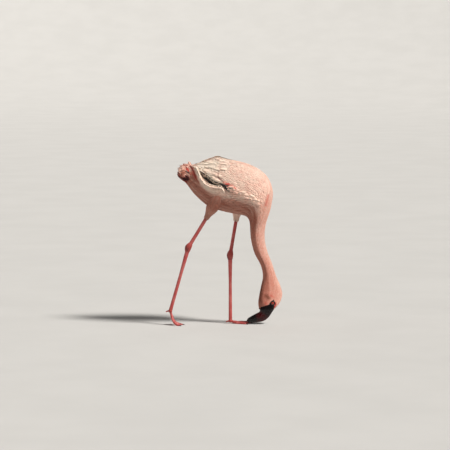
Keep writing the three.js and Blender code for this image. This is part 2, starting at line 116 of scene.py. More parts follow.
# Where the painted shade of the underside begins, which runs on along the throat side of neck and head:
# place, angle in degrees.
UNDER_ROWS = (
    ("tail root", 0.0, 62),
    ("tail root", 0.6, 60),
    ("tail root", 0.93, 76),
    ("rump", 0.26, 93),
    ("loin", 0.06, 105),
    ("loin", 0.84, 109),
    ("chest", 0, 108),
    ("shoulder", 0, 108),
    ("breast", 0, 108),
    ("neck root", 0, 102),
    ("low bend", 0, 98),
    ("nape", 0, 96),
    ("crown", 0, 92),
    ("bill root", 0, 104),
)

# How deep the coat lies over the skin: place, depth.
COAT_ROWS = (
    ("tail root", 0, 0.0045),
    ("loin", 0, 0.005),
    ("breast", 0, 0.005),
    ("low bend", 0, 0.003),
    ("nape", 0, 0.0022),
    ("crown", 0, 0.0016),
    ("bill root", 0, 0.0007),
)

# Plumage of the body: place, and spacing, length and width of its feathers.
FEATHER_ROWS = (
    ("tail root", 0, 0.0034, 0.026, 0.0060),
    ("loin", 0, 0.0034, 0.029, 0.0064),
    ("chest", 0, 0.0032, 0.028, 0.0060),
    ("breast", 0, 0.0027, 0.024, 0.0050),
    ("lower neck", 0, 0.0019, 0.0150, 0.0033),
    ("upper neck", 0, 0.0014, 0.0115, 0.0024),
    ("hind crown", 0, 0.00115, 0.0085, 0.0020),
    ("crown", 0, 0.0010, 0.0068, 0.0017),
    ("brow", 0, 0.0008, 0.0048, 0.0013),
    ("bill root", 0, 0.0007, 0.0028, 0.0010),
)

BILL = {
    "start": (0.158, 0.058),
    "heading": 239.0,
    "straight": 0.026,
    "bend": 0.030,
    "turn": 50.0,
    "end": 0.045,
}
# Share of the gape line, depths of the upper and lower mandible, and their half widths.
BILL_ROWS = (
    (0.0, 0.013, 0.037, 0.009, 0.0115),
    (0.15, 0.0125, 0.033, 0.0085, 0.011),
    (0.3, 0.012, 0.027, 0.008, 0.0105),
    (0.55, 0.0115, 0.0215, 0.0075, 0.010),
    (0.8, 0.0105, 0.013, 0.0065, 0.0085),
    (0.94, 0.008, 0.007, 0.005, 0.0056),
    (1.0, 0.0036, 0.002, 0.0022, 0.0022),
)
BILL_LENGTH = BILL["straight"] + BILL["bend"] + BILL["end"]
BILL_TABLE = np.array(BILL_ROWS).T
GAPE = 0.00015  # half the gap between the mandibles

EYE = {"place": (0.1635, 0.074), "radius": 0.0056, "sunk": 0.0026}

LEGS = {
    "left": {
        "side": 1,
        "hip": (0.050, 0.040, 0.440),
        "cuff": (0.0405, 0.031, 0.352),
        "hock": (0.0202, 0.026, 0.233),
        "knuckle": (0.021, 0.020, 0.0094),
        "toe_path": ((0, 0.0094), (0.013, 0.0052), (0.026, 0.003), (0.050, 0.0026), (0.072, 0.002)),
    },
    "right": {
        "side": -1,
        "hip": (-0.018, -0.042, 0.440),
        "cuff": (-0.059, -0.031, 0.3655),
        "hock": (-0.121, -0.027, 0.2637),
        "knuckle": (-0.1822, -0.020, 0.048),
        "toe_path": ((0, 0.048), (0.005, 0.030), (0.013, 0.013), (0.027, 0.0028), (0.047, 0.002)),
    },
}
THIGH = (0.031, 0.021, 0.0095)  # radii at the hip, half way and at the cuff
THIGH_FLATNESS = 0.92
SHANK = (0.006, 0.0057, 0.0064)
TARSUS = (0.0074, 0.0053, 0.0058)
HOCK_RADIUS = 0.011
HOCK_REACH = 0.017
LIMB_FLATNESS = 0.84
KNUCKLE_RADIUS = 0.0062
TOES = (("inner", -27.0, 0.061), ("middle", 0.0, 0.070), ("outer", 27.0, 0.064))
TOE_RADII = (0.0044, 0.0036, 0.0027)
TOE_JOINT = 0.021  # from one joint of a toe to the next
HIND_TOE = {"root": (-0.003, -0.002, 0.001), "way": (-0.013, 0.0, -0.005), "radii": (0.0028, 0.0019)}
CLAW = {"length": 0.008, "root": 0.002, "tip": 0.0005}
WEB = {"from": 0.002, "edge": 0.86, "hollow": 0.6, "thick": 0.0012, "drop": 0.0013}

# --- small mathematics


def smooth(share):
    """A share from 0 to 1 that starts and ends level."""
    share = np.clip(share, 0.0, 1.0)
    return share * share * (3.0 - 2.0 * share)


def fade(low, high, value):
    """0 below low, 1 above high and smooth between them."""
    return smooth((value - low) / (high - low))


def hump(off, width):
    """1 where off is 0, and nearly 0 more than two widths away on both sides."""
    return np.exp(-((off / width) ** 2))


def mix(a, b, share):
    return a + (b - a) * share


def reading(places, values, place):
    """Values along a list of places: a smooth curve that never overshoots a row."""
    place = np.clip(place, places[0], places[-1])
    row = np.clip(np.searchsorted(places, place, side="right") - 1, 0, len(places) - 2)
    run = np.diff(places)
    rise = np.diff(values) / run
    both = rise[:-1] * rise[1:] > 0
    inner = np.where(both, 2 * rise[:-1] * rise[1:] / np.where(both, rise[:-1] + rise[1:], 1.0), 0.0)
    slope = np.concatenate((rise[:1], inner, rise[-1:]))
    t = (place - places[row]) / run[row]
    bend = (1 - t) * slope[row] - t * slope[row + 1]
    return mix(values[row], values[row + 1], smooth(t)) + t * (1 - t) * run[row] * bend


def unit(vectors):
    return vectors / np.maximum(np.linalg.norm(vectors, axis=-1, keepdims=True), 1e-12)


def stacked(*parts):
    """Numbers or arrays side by side in one more axis, the last."""
    return np.stack(np.broadcast_arrays(*parts), axis=-1)


def turns(count, start=0.0):
    """Angles of points evenly round a circle."""
    return np.linspace(start, start + 2 * math.pi, count, endpoint=False)


def circle(turn, first, second):
    """Points round a circle that starts at one vector and turns towards another."""
    return np.cos(turn)[..., None] * first + np.sin(turn)[..., None] * second


def beside(ways):
    """Unit vectors at right angles to ways: towards the bird's left, and backwards or forwards."""
    side = unit(np.array((0.0, 1.0, 0.0)) - ways[..., 1:2] * ways)
    return side, np.cross(side, ways)


def nearest(spots, points):
    """The number of the spot nearest to each point, and how far away it is."""
    tree = KDTree(len(spots))
    for n, spot in enumerate(spots):
        tree.insert(spot, n)
    tree.balance()
    found = [tree.find(point)[1:] for point in points]
    return np.array([n for n, _ in found]), np.array([away for _, away in found])


def through(points, at):
    """A smooth curve through points, read at places counted in points."""
    points = np.asarray(points, float)
    ends = 2 * points[:1] - points[1:2], 2 * points[-1:] - points[-2:-1]
    padded = np.concatenate((ends[0], points, ends[1]))
    at = np.clip(np.asarray(at, float), 0.0, len(points) - 1.0)
    row = np.minimum(at.astype(int), len(points) - 2)
    t = (at - row)[..., None]
    a, b, c, d = (padded[row + k] for k in range(4))
    return 0.5 * (2 * b + (c - a) * t + (2 * a - 5 * b + 4 * c - d) * t**2 + (3 * b - a - 3 * c + d) * t**3)


# --- the body's surface

SECTION_TABLE = np.array([(*back, *belly, half) for _, back, belly, half in SECTIONS])
SECTION_PLACES = {row[0]: n - TAIL_ROWS for n, row in enumerate(SECTIONS)}
FACE = SECTION_PLACES["bill root"]


class Rows:
    """Numbers along the body. A row holds the name of a section, the share of the way from it to the
    next one, and the numbers there."""

    def __init__(self, rows):
        self.places = np.array([SECTION_PLACES[name] + more for name, more, *_ in rows])
        self.columns = np.array([row[2:] for row in rows], float).T

    def at(self, place):
        return [reading(self.places, column, place) for column in self.columns]


WING, FLANK, UNDER, COAT, FEATHERS = (
    Rows(rows) for rows in (WING_ROWS, FLANK_ROWS, UNDER_ROWS, COAT_ROWS, FEATHER_ROWS)
)


class Body:
    """Trunk, neck and head. Places count sections from the tail root; an angle runs from the back, 0,
    to the belly, and is above 0 on the bird's left. Feathers point to lower places."""

    flow = -1.0
    spans = (-TAIL_ROWS, FACE, -math.pi, math.pi)

    @staticmethod
    def point(place, angle, proud):
        table = through(SECTION_TABLE, np.asarray(place) + TAIL_ROWS)
        back, belly, half = table[..., 0:2], table[..., 2:4], table[..., 4]
        up = (back - belly) / 2
        reach = np.linalg.norm(up, axis=-1)
        over = half * (np.cos(angle) + KEEL * np.cos(2 * angle))
        aside = reach * np.sin(angle)
        length = np.hypot(over, aside)
        height = np.cos(angle) + proud * over / length / reach
        width = half * np.sin(angle) * (1 + KEEL * np.cos(angle)) + proud * aside / length
        middle = (back + belly) / 2 + up * height[..., None]
        return stacked(middle[..., 0], width, middle[..., 1])

    @staticmethod
    def swell(place, angle):
        """How far the folded wings and the flank's folds stand out from the body."""
        turn = np.abs(np.degrees(angle))
        top, low, crest, proud = WING.at(place)
        share = (turn - top) / (low - top)
        height = mix(crest, proud, smooth(share / 0.35))
        across = fade(-4.0, 4.0, turn - top) * (1 - fade(-1.0, 4.0, turn - low))
        along = fade(-0.25, 0.25, place - WING.places[0]) * (1 - fade(-0.7, 0.1, place - WING.places[-1]))
        fold, high = FLANK.at(place)
        ridge = fade(-FLANK_ABOVE, 0.0, turn - fold) * (1 - fade(0.0, FLANK_BELOW, turn - fold))
        return height * across * along + high * ridge

    @staticmethod
    def depth(place, _):
        return COAT.at(place)[0]


class Thigh:
    """A feathered thigh. Places run from its round top over the hip, 0, to the cuff, 1, and feather
    tips reach a little farther down the shank."""

    flow = 1.0
    spans = (-0.3, 1.12, -math.pi, math.pi)

    def __init__(self, leg):
        self.hip = np.array(leg["hip"])
        self.way = np.array(leg["cuff"]) - self.hip
        self.side, self.fore = beside(unit(self.way))

    def point(self, place, angle, proud):
        crown = np.sqrt(np.clip(1 - np.clip(place / self.spans[0], 0, 1) ** 2, 0.0, 1))
        sunk = mix(0.68, 1.0, fade(0.0, 0.55, place)) - 0.30 * fade(1.0, 1.1, place)
        radius = three_way(THIGH, np.maximum(place, 0.0), 0.5) * crown * sunk + proud
        ring = circle(angle, self.fore, THIGH_FLATNESS * self.side) * radius[..., None]
        return self.hip + place[..., None] * self.way + ring

    @staticmethod
    def swell(place, _):
        return 0.0 * place

    @staticmethod
    def depth(place, _):
        return mix(0.0035, 0.0025, place)


def three_way(radii, share, waist):
    """From the first radius to the second at a share of the way, and on to the third."""
    first = mix(radii[0], radii[1], share / waist)
    last = mix(radii[1], radii[2], smooth((share - waist) / (1 - waist)))
    return np.where(share < waist, first, last)


def directions(surface, place, angle, height=None):
    """Unit vectors along the feathers, across them and outwards, and metres per unit of place and
    angle, on a surface at a height over the body that changes with place and angle."""
    small = 1e-3
    height = height or surface.swell
    spot = lambda u, v: surface.point(u, v, height(u, v))
    along = spot(place + small, angle) - spot(place - small, angle)
    across = spot(place, angle + small) - spot(place, angle - small)
    speeds = [np.linalg.norm(v, axis=-1) / (2 * small) for v in (along, across)]
    along, across = unit(along * surface.flow), unit(across)
    out = unit(np.cross(across, along))
    return along, across, out, np.maximum(speeds[0], 0.004), np.maximum(speeds[1], 0.002)


# --- markings

# Strokes of colour seen from the side: (x, z) where each starts and ends, and its half width.
CRIMSON_STROKES = (
    ((0.0054, 0.4814), (0.0159, 0.4826), 0.0026),
    ((0.0115, 0.4736), (0.0125, 0.4740), 0.0024),
    ((0.0330, 0.4720), (0.0390, 0.4660), 0.0012),
)
WINE_STROKES = (
    ((-0.0203, 0.5170), (-0.0203, 0.5058), 0.0014),
    ((-0.0203, 0.5058), (-0.0152, 0.4970), 0.0024),
    ((-0.0152, 0.4970), (-0.0091, 0.4953), 0.0024),
    ((-0.0055, 0.4936), (-0.0003, 0.4814), 0.0012),
    # Along the tail's border under the pale fold: crimson coverts and painted shadow under the fold.
    ((-0.1139, 0.5380), (-0.1038, 0.5227), 0.0024),
    ((-0.1038, 0.5227), (-0.0953, 0.5006), 0.0026),
    ((-0.0953, 0.5006), (-0.0852, 0.4837), 0.0008),
)
ROSY_STROKES = (
    ((-0.0010, 0.4880), (0.0060, 0.4880), 0.0020),
    ((0.0180, 0.4780), (0.0270, 0.4770), 0.0030),
    ((-0.1100, 0.5340), (-0.1020, 0.5200), 0.0040),
    ((-0.1060, 0.5180), (-0.0950, 0.5000), 0.0040),
    ((0.1480, 0.4420), (0.1400, 0.4080), 0.0030),
    ((0.1640, 0.0960), (0.1560, 0.1010), 0.0022),
    ((0.1400, 0.0745), (0.1430, 0.0700), 0.0026),
)
BROWN_STROKES = (
    ((0.1420, 0.0985), (0.1500, 0.0915), 0.0056),
    # Painted shade: a long soft stroke down the throat side of the head.
    ((0.1270, 0.1450), (0.1240, 0.0800), 0.0040),
)
# The tail's bright and rosy locks, and painted shadow in the gaps between the locks and along the tail's
# lower edge.
TAIL_PALE_STROKES = (
    ((-0.1488, 0.5325), (-0.1468, 0.5256), 0.0066),
    ((-0.1433, 0.5256), (-0.1323, 0.5173), 0.0034),
    ((-0.1323, 0.5173), (-0.1192, 0.5097), 0.0028),
    ((-0.1192, 0.5097), (-0.1109, 0.5027), 0.0025),
    ((-0.1213, 0.5505), (-0.1164, 0.5436), 0.0034),
    ((-0.1268, 0.5395), (-0.1233, 0.5374), 0.0031),
    ((-0.1544, 0.5228), (-0.1468, 0.5145), 0.0024),
    ((-0.1468, 0.5145), (-0.1337, 0.5069), 0.0020),
)
TAIL_ROSY_STROKES = (
    ((-0.1392, 0.5415), (-0.1351, 0.5339), 0.0028),
    ((-0.1351, 0.5339), (-0.1254, 0.5263), 0.0025),
    ((-0.1254, 0.5263), (-0.1178, 0.5228), 0.0025),
    ((-0.1144, 0.5360), (-0.1068, 0.5256), 0.0031),
    ((-0.1144, 0.5124), (-0.1068, 0.5097), 0.0025),
)
TAIL_SHADOW_STROKES = (
    ((-0.1364, 0.5277), (-0.1268, 0.5208), 0.0022),
    ((-0.1268, 0.5208), (-0.1171, 0.5159), 0.0022),
    ((-0.1337, 0.5388), (-0.1261, 0.5325), 0.0018),
    ((-0.1440, 0.5180), (-0.1378, 0.5083), 0.0021),
    ((-0.1537, 0.5159), (-0.1526, 0.5145), 0.0019),
    ((-0.1564, 0.5055), (-0.1433, 0.4986), 0.0020),
    ((-0.1433, 0.4986), (-0.1309, 0.4910), 0.0030),
    ((-0.1282, 0.5048), (-0.1213, 0.5007), 0.0034),
    ((-0.1323, 0.4979), (-0.1144, 0.4910), 0.0041),
)
BROW_STROKES = (((0.1739, 0.0750), (0.1739, 0.0690), 0.0024), ((0.1739, 0.0690), (0.1695, 0.0595), 0.0030))
# Painted shade in the folds of skin behind and under the hocks.
HOCK_FOLD_SHADE = (
    ((-0.1290, 0.2800), (-0.1280, 0.2560), 0.0016),
    ((-0.1215, 0.2620), (-0.1250, 0.2520), 0.0012),
    ((0.0100, 0.2320), (0.0140, 0.2190), 0.0016),
    ((0.0140, 0.2190), (0.0235, 0.2200), 0.0012),
)
# The black mask: a spike over the eye, round it, and down over the lores and along the bill's root.
MASK_STROKES = (
    ((0.1674, 0.0850), (0.1655, 0.0800), 0.0014),
    ((0.1655, 0.0800), (0.1640, 0.0760), 0.0040),
    ((0.1638, 0.0735), (0.1634, 0.0734), 0.0088),
    ((0.1612, 0.0700), (0.1595, 0.0540), 0.0086),
    ((0.1550, 0.0640), (0.1290, 0.0545), 0.0062),
    ((0.1600, 0.0500), (0.1180, 0.0480), 0.0068),
)
# Slow stripes along the lie of the feathers: turns along and round the body, and a start.
STRIPES = ((1.1, 9, 0.3), (0.7, 23, 1.9), (2.3, 14, 4.0), (1.7, 37, 2.6), (3.1, 19, 5.2))


def stripes(place, angle):
    """Slow stripes along the lie of the feathers, from -1 to 1."""
    return sum(np.sin(a * place + b * angle + start) for a, b, start in STRIPES) / len(STRIPES)


def body_tints(place, angle):
    """Shares of rose, of cream and of the underside's deeper tint over the body's plumage."""
    turn = np.abs(np.degrees(angle))
    rose = 0.12 + 0.50 * fade(4.6, 7.4, place) + 0.20 * fade(8.0, 12.0, place)
    rose += 0.35 * (1 - fade(-0.3, 1.0, place)) + 0.18 * stripes(place, angle)
    # Painted light: less rose on the back of neck and head, the side that faces the light.
    rose -= 0.32 * (1 - fade(25.0, 80.0, turn)) * fade(8.0, 10.0, place)
    # Painted shade on the underside and the throat side of neck and head, which also turns them rosier.
    under = fade(-2.0, 17.0, turn - UNDER.at(place)[0])
    cream = fade(0.3, 0.9, place) * (1 - fade(1.8, 3.2, place)) * (1 - under)
    under = under * (0.9 - 0.35 * fade(7.0, 9.5, place)) * (1 + 0.25 * stripes(place, angle))
    return {"rose": np.clip(rose + 0.3 * under, 0, 1), "cream": cream, "under": under}


# --- making meshes


def make_mesh(name, points, faces, layers=None, maps=None, flat=()):
    """A smooth mesh. faces is a list of index arrays, one for each number of corners, layers holds a
    number for each point, maps a UV for each point, and flat the faces that are shaded flat."""
    data = bpy.data.meshes.new(name)
    corners = np.concatenate([block.ravel() for block in faces])
    counts = np.concatenate([np.full(len(block), block.shape[1]) for block in faces])
    data.vertices.add(len(points))
    data.vertices.foreach_set("co", np.ascontiguousarray(points, np.float32).ravel())
    data.loops.add(len(corners))
    data.loops.foreach_set("vertex_index", corners.astype(np.int32))
    data.polygons.add(len(counts))
    starts = np.concatenate(((0,), np.cumsum(counts)[:-1]))
    data.polygons.foreach_set("loop_start", starts.astype(np.int32))
    rounded = np.ones(len(counts), bool)
    rounded[np.asarray(flat, int)] = False
    data.polygons.foreach_set("use_smooth", rounded)
    for key, uv in (maps or {}).items():
        layer = data.uv_layers.new(name=key)
        layer.data.foreach_set("uv", np.ascontiguousarray(uv[corners], np.float32).ravel())
    data.update(calc_edges=True)
    data.validate()
    add_layers(data, layers or {})
    piece = bpy.data.objects.new(name, data)
    bpy.context.scene.collection.objects.link(piece)
    return piece


def add_layers(data, layers):
    """Adds named numbers for each point of a mesh."""
    for key, values in layers.items():
        layer = data.attributes.new(key, "FLOAT", "POINT")
        layer.data.foreach_set("value", np.ascontiguousarray(values, np.float32))


def points_of(piece, field="co"):
    """Places, or normals, of a piece's points."""
    flat = np.empty(len(piece.data.vertices) * 3, np.float32)
    piece.data.vertices.foreach_get(field, flat)
    return flat.reshape(-1, 3).astype(float)


def grid_faces(rows, columns, wrapped=True):
    """Faces between rows of points. A wrapped row joins its last point to its first."""
    r, c = np.meshgrid(np.arange(rows - 1), np.arange(columns if wrapped else columns - 1), indexing="ij")
    a = r * columns + c
    b = r * columns + (c + 1) % columns
    return stacked(a, b, b + columns, a + columns).reshape(-1, 4)


def loft(rings):
    """Points and faces of a closed body through rings, with a fan over each end."""
    rows, columns = rings.shape[:2]
    hubs = np.stack((rings[0].mean(axis=0), rings[-1].mean(axis=0)))
    points = np.concatenate((rings.reshape(-1, 3), hubs))
    count = rows * columns
    around = np.arange(columns)
    following = (around + 1) % columns
    last = count - columns
    fans = stacked(count, following, around), stacked(count + 1, last + around, last + following)
    return points, [grid_faces(rows, columns), np.concatenate(fans)]


def joined(parts):
    """Several (points, faces) as one."""
    points, faces, start = [], {}, 0
    for part_points, part_faces in parts:
        points.append(part_points)
        for block in part_faces:
            faces.setdefault(block.shape[1], []).append(block + start)
        start += len(part_points)
    return np.concatenate(points), [np.concatenate(blocks) for blocks in faces.values()]


def remeshed(piece, voxel, rounds):
    """Joins what overlaps in a piece into one even skin."""
    fuse = piece.modifiers.new("fuse", "REMESH")
    fuse.mode = "VOXEL"
    fuse.voxel_size = voxel
    fuse.use_smooth_shade = True
    relax = piece.modifiers.new("relax", "SMOOTH")
    relax.factor = 0.5
    relax.iterations = rounds
    graph = bpy.context.evaluated_depsgraph_get()
    made = bpy.data.meshes.new_from_object(piece.evaluated_get(graph))
    piece.modifiers.clear()
    piece.data = made
    return piece


def finished(piece, material, replaced=()):
    """Gives a piece its material, its slot, its body and the nodes that it stands for."""
    if not piece.data.polygons:
        raise RuntimeError(piece.name + " has no faces")
    piece.data.materials.append(material)
    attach(piece, "root")
    if replaced:
        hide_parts(*replaced)
    return piece


# --- feathers

# Along a vane: share of its length, and share of its full width there.
SOFT_VANE = ((0.0, 0.0), (0.25, 0.75), (0.55, 1.0), (0.80, 0.74), (0.93, 0.36), (1.0, 0.0))
LONG_VANE = ((0.0, 0.0), (0.12, 0.5), (0.35, 0.86), (0.6, 1.0), (0.8, 0.90), (0.93, 0.54), (1.0, 0.0))
SMALL_VANE = ((0.0, 0.0), (0.35, 0.9), (0.7, 0.9), (1.0, 0.0))
LONG_SHARE = np.array(LONG_VANE)[:, :1]
LONG_BOW = 4 * LONG_SHARE * (1 - LONG_SHARE)  # how far a bowed vane stands out, from end to end
PATCH = 0.003  # a vane's share of the bake's map
TRIES = 5  # spots tried for each feather that finds room


def scatter(surface, spacing, keep, seed):
    """Places and angles spread evenly over a surface, at least spacing(place, angle) apart."""
    rng = np.random.default_rng(seed)
    low, high, first, last = surface.spans
    places, angles = np.linspace(low, high, 241), np.linspace(first, last, 145)
    place, angle = np.meshgrid(places, angles, indexing="ij")
    grid = surface.point(place, angle, surface.swell(place, angle))
    sides = grid[1:, :-1] - grid[:-1, :-1], grid[:-1, 1:] - grid[:-1, :-1]
    area = np.linalg.norm(np.cross(*sides), axis=-1)
    middle = (place[:-1, :-1] + place[1:, 1:]) / 2, (angle[:-1, :-1] + angle[1:, 1:]) / 2
    wanted = np.where(keep(*middle), area / spacing(*middle) ** 2, 0.0).ravel()
    count = int(wanted.sum() * TRIES)
    cell = rng.choice(wanted.size, count, p=wanted / wanted.sum())
    row, column = np.divmod(cell, area.shape[1])
    place = places[row] + rng.random(count) * (places[1] - places[0])
    angle = angles[column] + rng.random(count) * (angles[1] - angles[0])
    kept = keep(place, angle)
    place, angle = place[kept], angle[kept]
    spots = surface.point(place, angle, surface.swell(place, angle))
    apart = spacing(place, angle)
    cells = np.floor(spots / float(apart.max())).astype(int)
    taken, chosen = {}, []
    around = list(itertools.product((-1, 0, 1), repeat=3))
    for n, ((x, y, z), own, (i, j, k)) in enumerate(zip(spots.tolist(), apart.tolist(), cells.tolist())):
        others = (other for di, dj, dk in around for other in taken.get((i + di, j + dj, k + dk), ()))
        if all((x - a) ** 2 + (y - b) ** 2 + (z - c) ** 2 >= own * own for a, b, c in others):
            taken.setdefault((i, j, k), []).append((x, y, z))
            chosen.append(n)
    return place[chosen], angle[chosen]


class Vanes:
    """Feathers as thin closed vanes, gathered into one piece."""

    def __init__(self, seed):
        self.rng = np.random.default_rng(seed)
        self.points, self.faces, self.flat, self.layers, self.roots, self.local = ([] for _ in range(6))
        self.count = 0

    def add(self, surface, place, angle, length, width, rise, profile=SOFT_VANE, yaw=0.0, hold=0.0,
            curl=0.0, root=0.8, ramp=2.2, lane=None, tints=None, **shape):
        """Adds a vane at each place of a surface. rise is how far its tip stands over the surface, yaw
        turns it towards higher angles, curl bends its end out, hold keeps it at the height of its root,
        root is how deep in the coat it starts and ramp how fast it leaves it, lane gives the line of
        angles it keeps to, and tints its colours along it."""
        count = len(place)
        length, width, rise, yaw, curl = (
            np.broadcast_to(np.asarray(value, float), (count,)) for value in (length, width, rise, yaw, curl)
        )
        share = np.array(profile)[:, 0]
        at_root = surface.swell(place, angle)
        _, _, _, run, sweep = directions(surface, place, angle)
        gone = length[:, None] * share
        u = place[:, None] + surface.flow * gone * (np.cos(yaw) / run)[:, None]
        u = np.clip(u, surface.spans[0] - 0.5, surface.spans[1])
        v = angle[:, None] + gone * (np.sin(yaw) / sweep)[:, None]
        if lane:
            v = v + np.sign(v) * np.radians(lane(u) - lane(place[:, None]))
        ground = lambda u, v: mix(surface.swell(u, v), at_root[:, None], hold)
        sunk = surface.depth(place, angle)[:, None] * root
        proud = ground(u, v) + mix(-sunk, rise[:, None], 1 - (1 - share) ** ramp) + curl[:, None] * share**3
        spine = surface.point(u, v, proud)
        out = directions(surface, u, v, ground)[2]
        made = tints(u, v) if callable(tints) else (tints or {})
        self.place_vanes(spine, out, width, profile, (place, angle), made, **shape)

    def place_vanes(self, spine, out, width, profile, roots, tints, cup=0.06, thick=0.02):
        """Adds vanes along spines: rows of points with a way out at each. cup lowers their edges, and
        thick is their depth, both as shares of the width."""
        share, breadth = np.array(profile).T
        width = np.broadcast_to(width, len(spine))[:, None, None]
        tangent = unit(np.gradient(spine, axis=1))
        lateral = unit(np.cross(tangent, out))
        out = np.cross(lateral, tangent)
        half = width * breadth[:, None] / 2
        drop = out * half * cup * 2
        ridge = out * width * thick
        left, right = spine - lateral * half - drop, spine + lateral * half - drop
        count, rings = len(spine), len(share) - 2
        body = np.stack((left, spine + ridge, right), axis=2)[:, 1:-1].reshape(count, -1, 3)
        self.points.append(np.concatenate((spine[:, :1], body, spine[:, -1:]), axis=1).reshape(-1, 3))
        self.add_faces(count, rings)
        shades = {"rose": 0.0, "cream": 0.0, "dark": 0.0, "under": 0.0}
        shades |= {"tone": self.rng.normal(0.0, 1.0, count)[:, None]} | tints | {"tip": share[None]}
        spread = {}
        for key, value in shades.items():
            value = np.broadcast_to(np.asarray(value, float), (count, len(share)))
            parts = value[:, :1], np.repeat(value[:, 1:-1], 3, axis=1), value[:, -1:]
            spread[key] = np.concatenate(parts, axis=1).ravel()
        self.layers.append(spread)
        along = np.concatenate(((0.0,), np.repeat(share[1:-1], 3), (1.0,)))
        across = np.concatenate(((0.5,), np.tile((0.0, 0.5, 1.0), rings), (0.5,)))
        self.local.append(np.tile(stacked(across, along), (count, 1)))
        self.roots.append(np.repeat(stacked(*roots), len(along), axis=0))

    def add_faces(self, count, rings):
        """Faces of vanes: a root point, rings of left edge, shaft and right edge, and a tip point."""
        each = 3 * rings + 2
        end, last = each - 1, 1 + 3 * (rings - 1)
        tris = [(0, 2, 1), (0, 3, 2), (0, 1, 3)]
        tris += [(end, last + k, last + (k + 1) % 3) for k in range(3)]
        quads = [
            (a + k, a + (k + 1) % 3, a + 3 + (k + 1) % 3, a + 3 + k)
            for a in range(1, last, 3) for k in range(3)
        ]
        starts = self.count + np.arange(count)[:, None, None] * each
        self.faces.append([(np.array(block) + starts).reshape(-1, len(block[0])) for block in (tris, quads)])
        self.flat.append([np.arange(count * len(block)) % 3 == 2 for block in (tris, quads)])
        self.count += count * each

    def piece(self, name):
        """One mesh of all the vanes. The bake's map unrolls their roots and gives each a small patch."""
        faces = [np.concatenate([pair[k] for pair in self.faces]) for k in (0, 1)]
        flat = np.concatenate([pair[k] for k in (0, 1) for pair in self.flat])
        layers = {key: np.concatenate([part[key] for part in self.layers]) for key in self.layers[0]}
        roots, local = np.concatenate(self.roots), np.concatenate(self.local)
        low, high = roots.min(axis=0), roots.max(axis=0)
        unrolled = PATCH + (1 - 2 * PATCH) * (roots - low) / np.maximum(high - low, 1e-6)
        maps = {"OFBake": unrolled + (local - 0.5) * PATCH, "Vane": local}
        return make_mesh(name, np.concatenate(self.points), faces, layers, maps, np.flatnonzero(flat))


LID_REACH = 0.0068  # feathers start this far from the eye's middle


def in_wing(place, angle, margin=0.0):
    """Whether a spot lies under the wing's feathers, a margin in degrees above its low edge."""
    top, low, _, _ = WING.at(place)
    turn = np.abs(np.degrees(angle))
    along = (place > WING.places[0] + 0.1) & (place < WING.places[-1] - 0.15)
    return along & (turn > top - 2) & (turn < low - margin)


def eye_distance(place, angle):
    """How far a spot of the head is from the eye's middle, seen from the side."""
    spots = Body.point(place, angle, np.zeros_like(place))
    return np.hypot(spots[..., 0] - EYE["place"][0], spots[..., 2] - EYE["place"][1])


def coat_piece(name, first, last, seed, keep, profile, material):
    """The plain contour feathers of one length of the body."""
    inside = lambda place, angle: (place >= first) & (place < last) & keep(place, angle)
    place, angle = scatter(Body, lambda u, v: FEATHERS.at(u)[0], inside, seed)
    _, length, width = FEATHERS.at(place)
    vanes = Vanes(seed + 1)
    rng, count = vanes.rng, len(place)
    relief = Body.depth(place, angle) * (0.45 + 0.55 * fade(6.5, 9.0, place))
    vanes.add(
        Body, place, angle,
        length=length * rng.uniform(0.85, 1.15, count), width=width * rng.uniform(0.85, 1.1, count),
        rise=relief * rng.uniform(-0.08, 0.06, count), yaw=rng.normal(0, 0.06, count),
        curl=relief * rng.uniform(-0.03, 0.04, count), root=0.42, profile=profile, cup=0.045, thick=0.016,
        tints=streaked(rng, count),
    )
    finished(vanes.piece(name), material)


# --- shader helpers


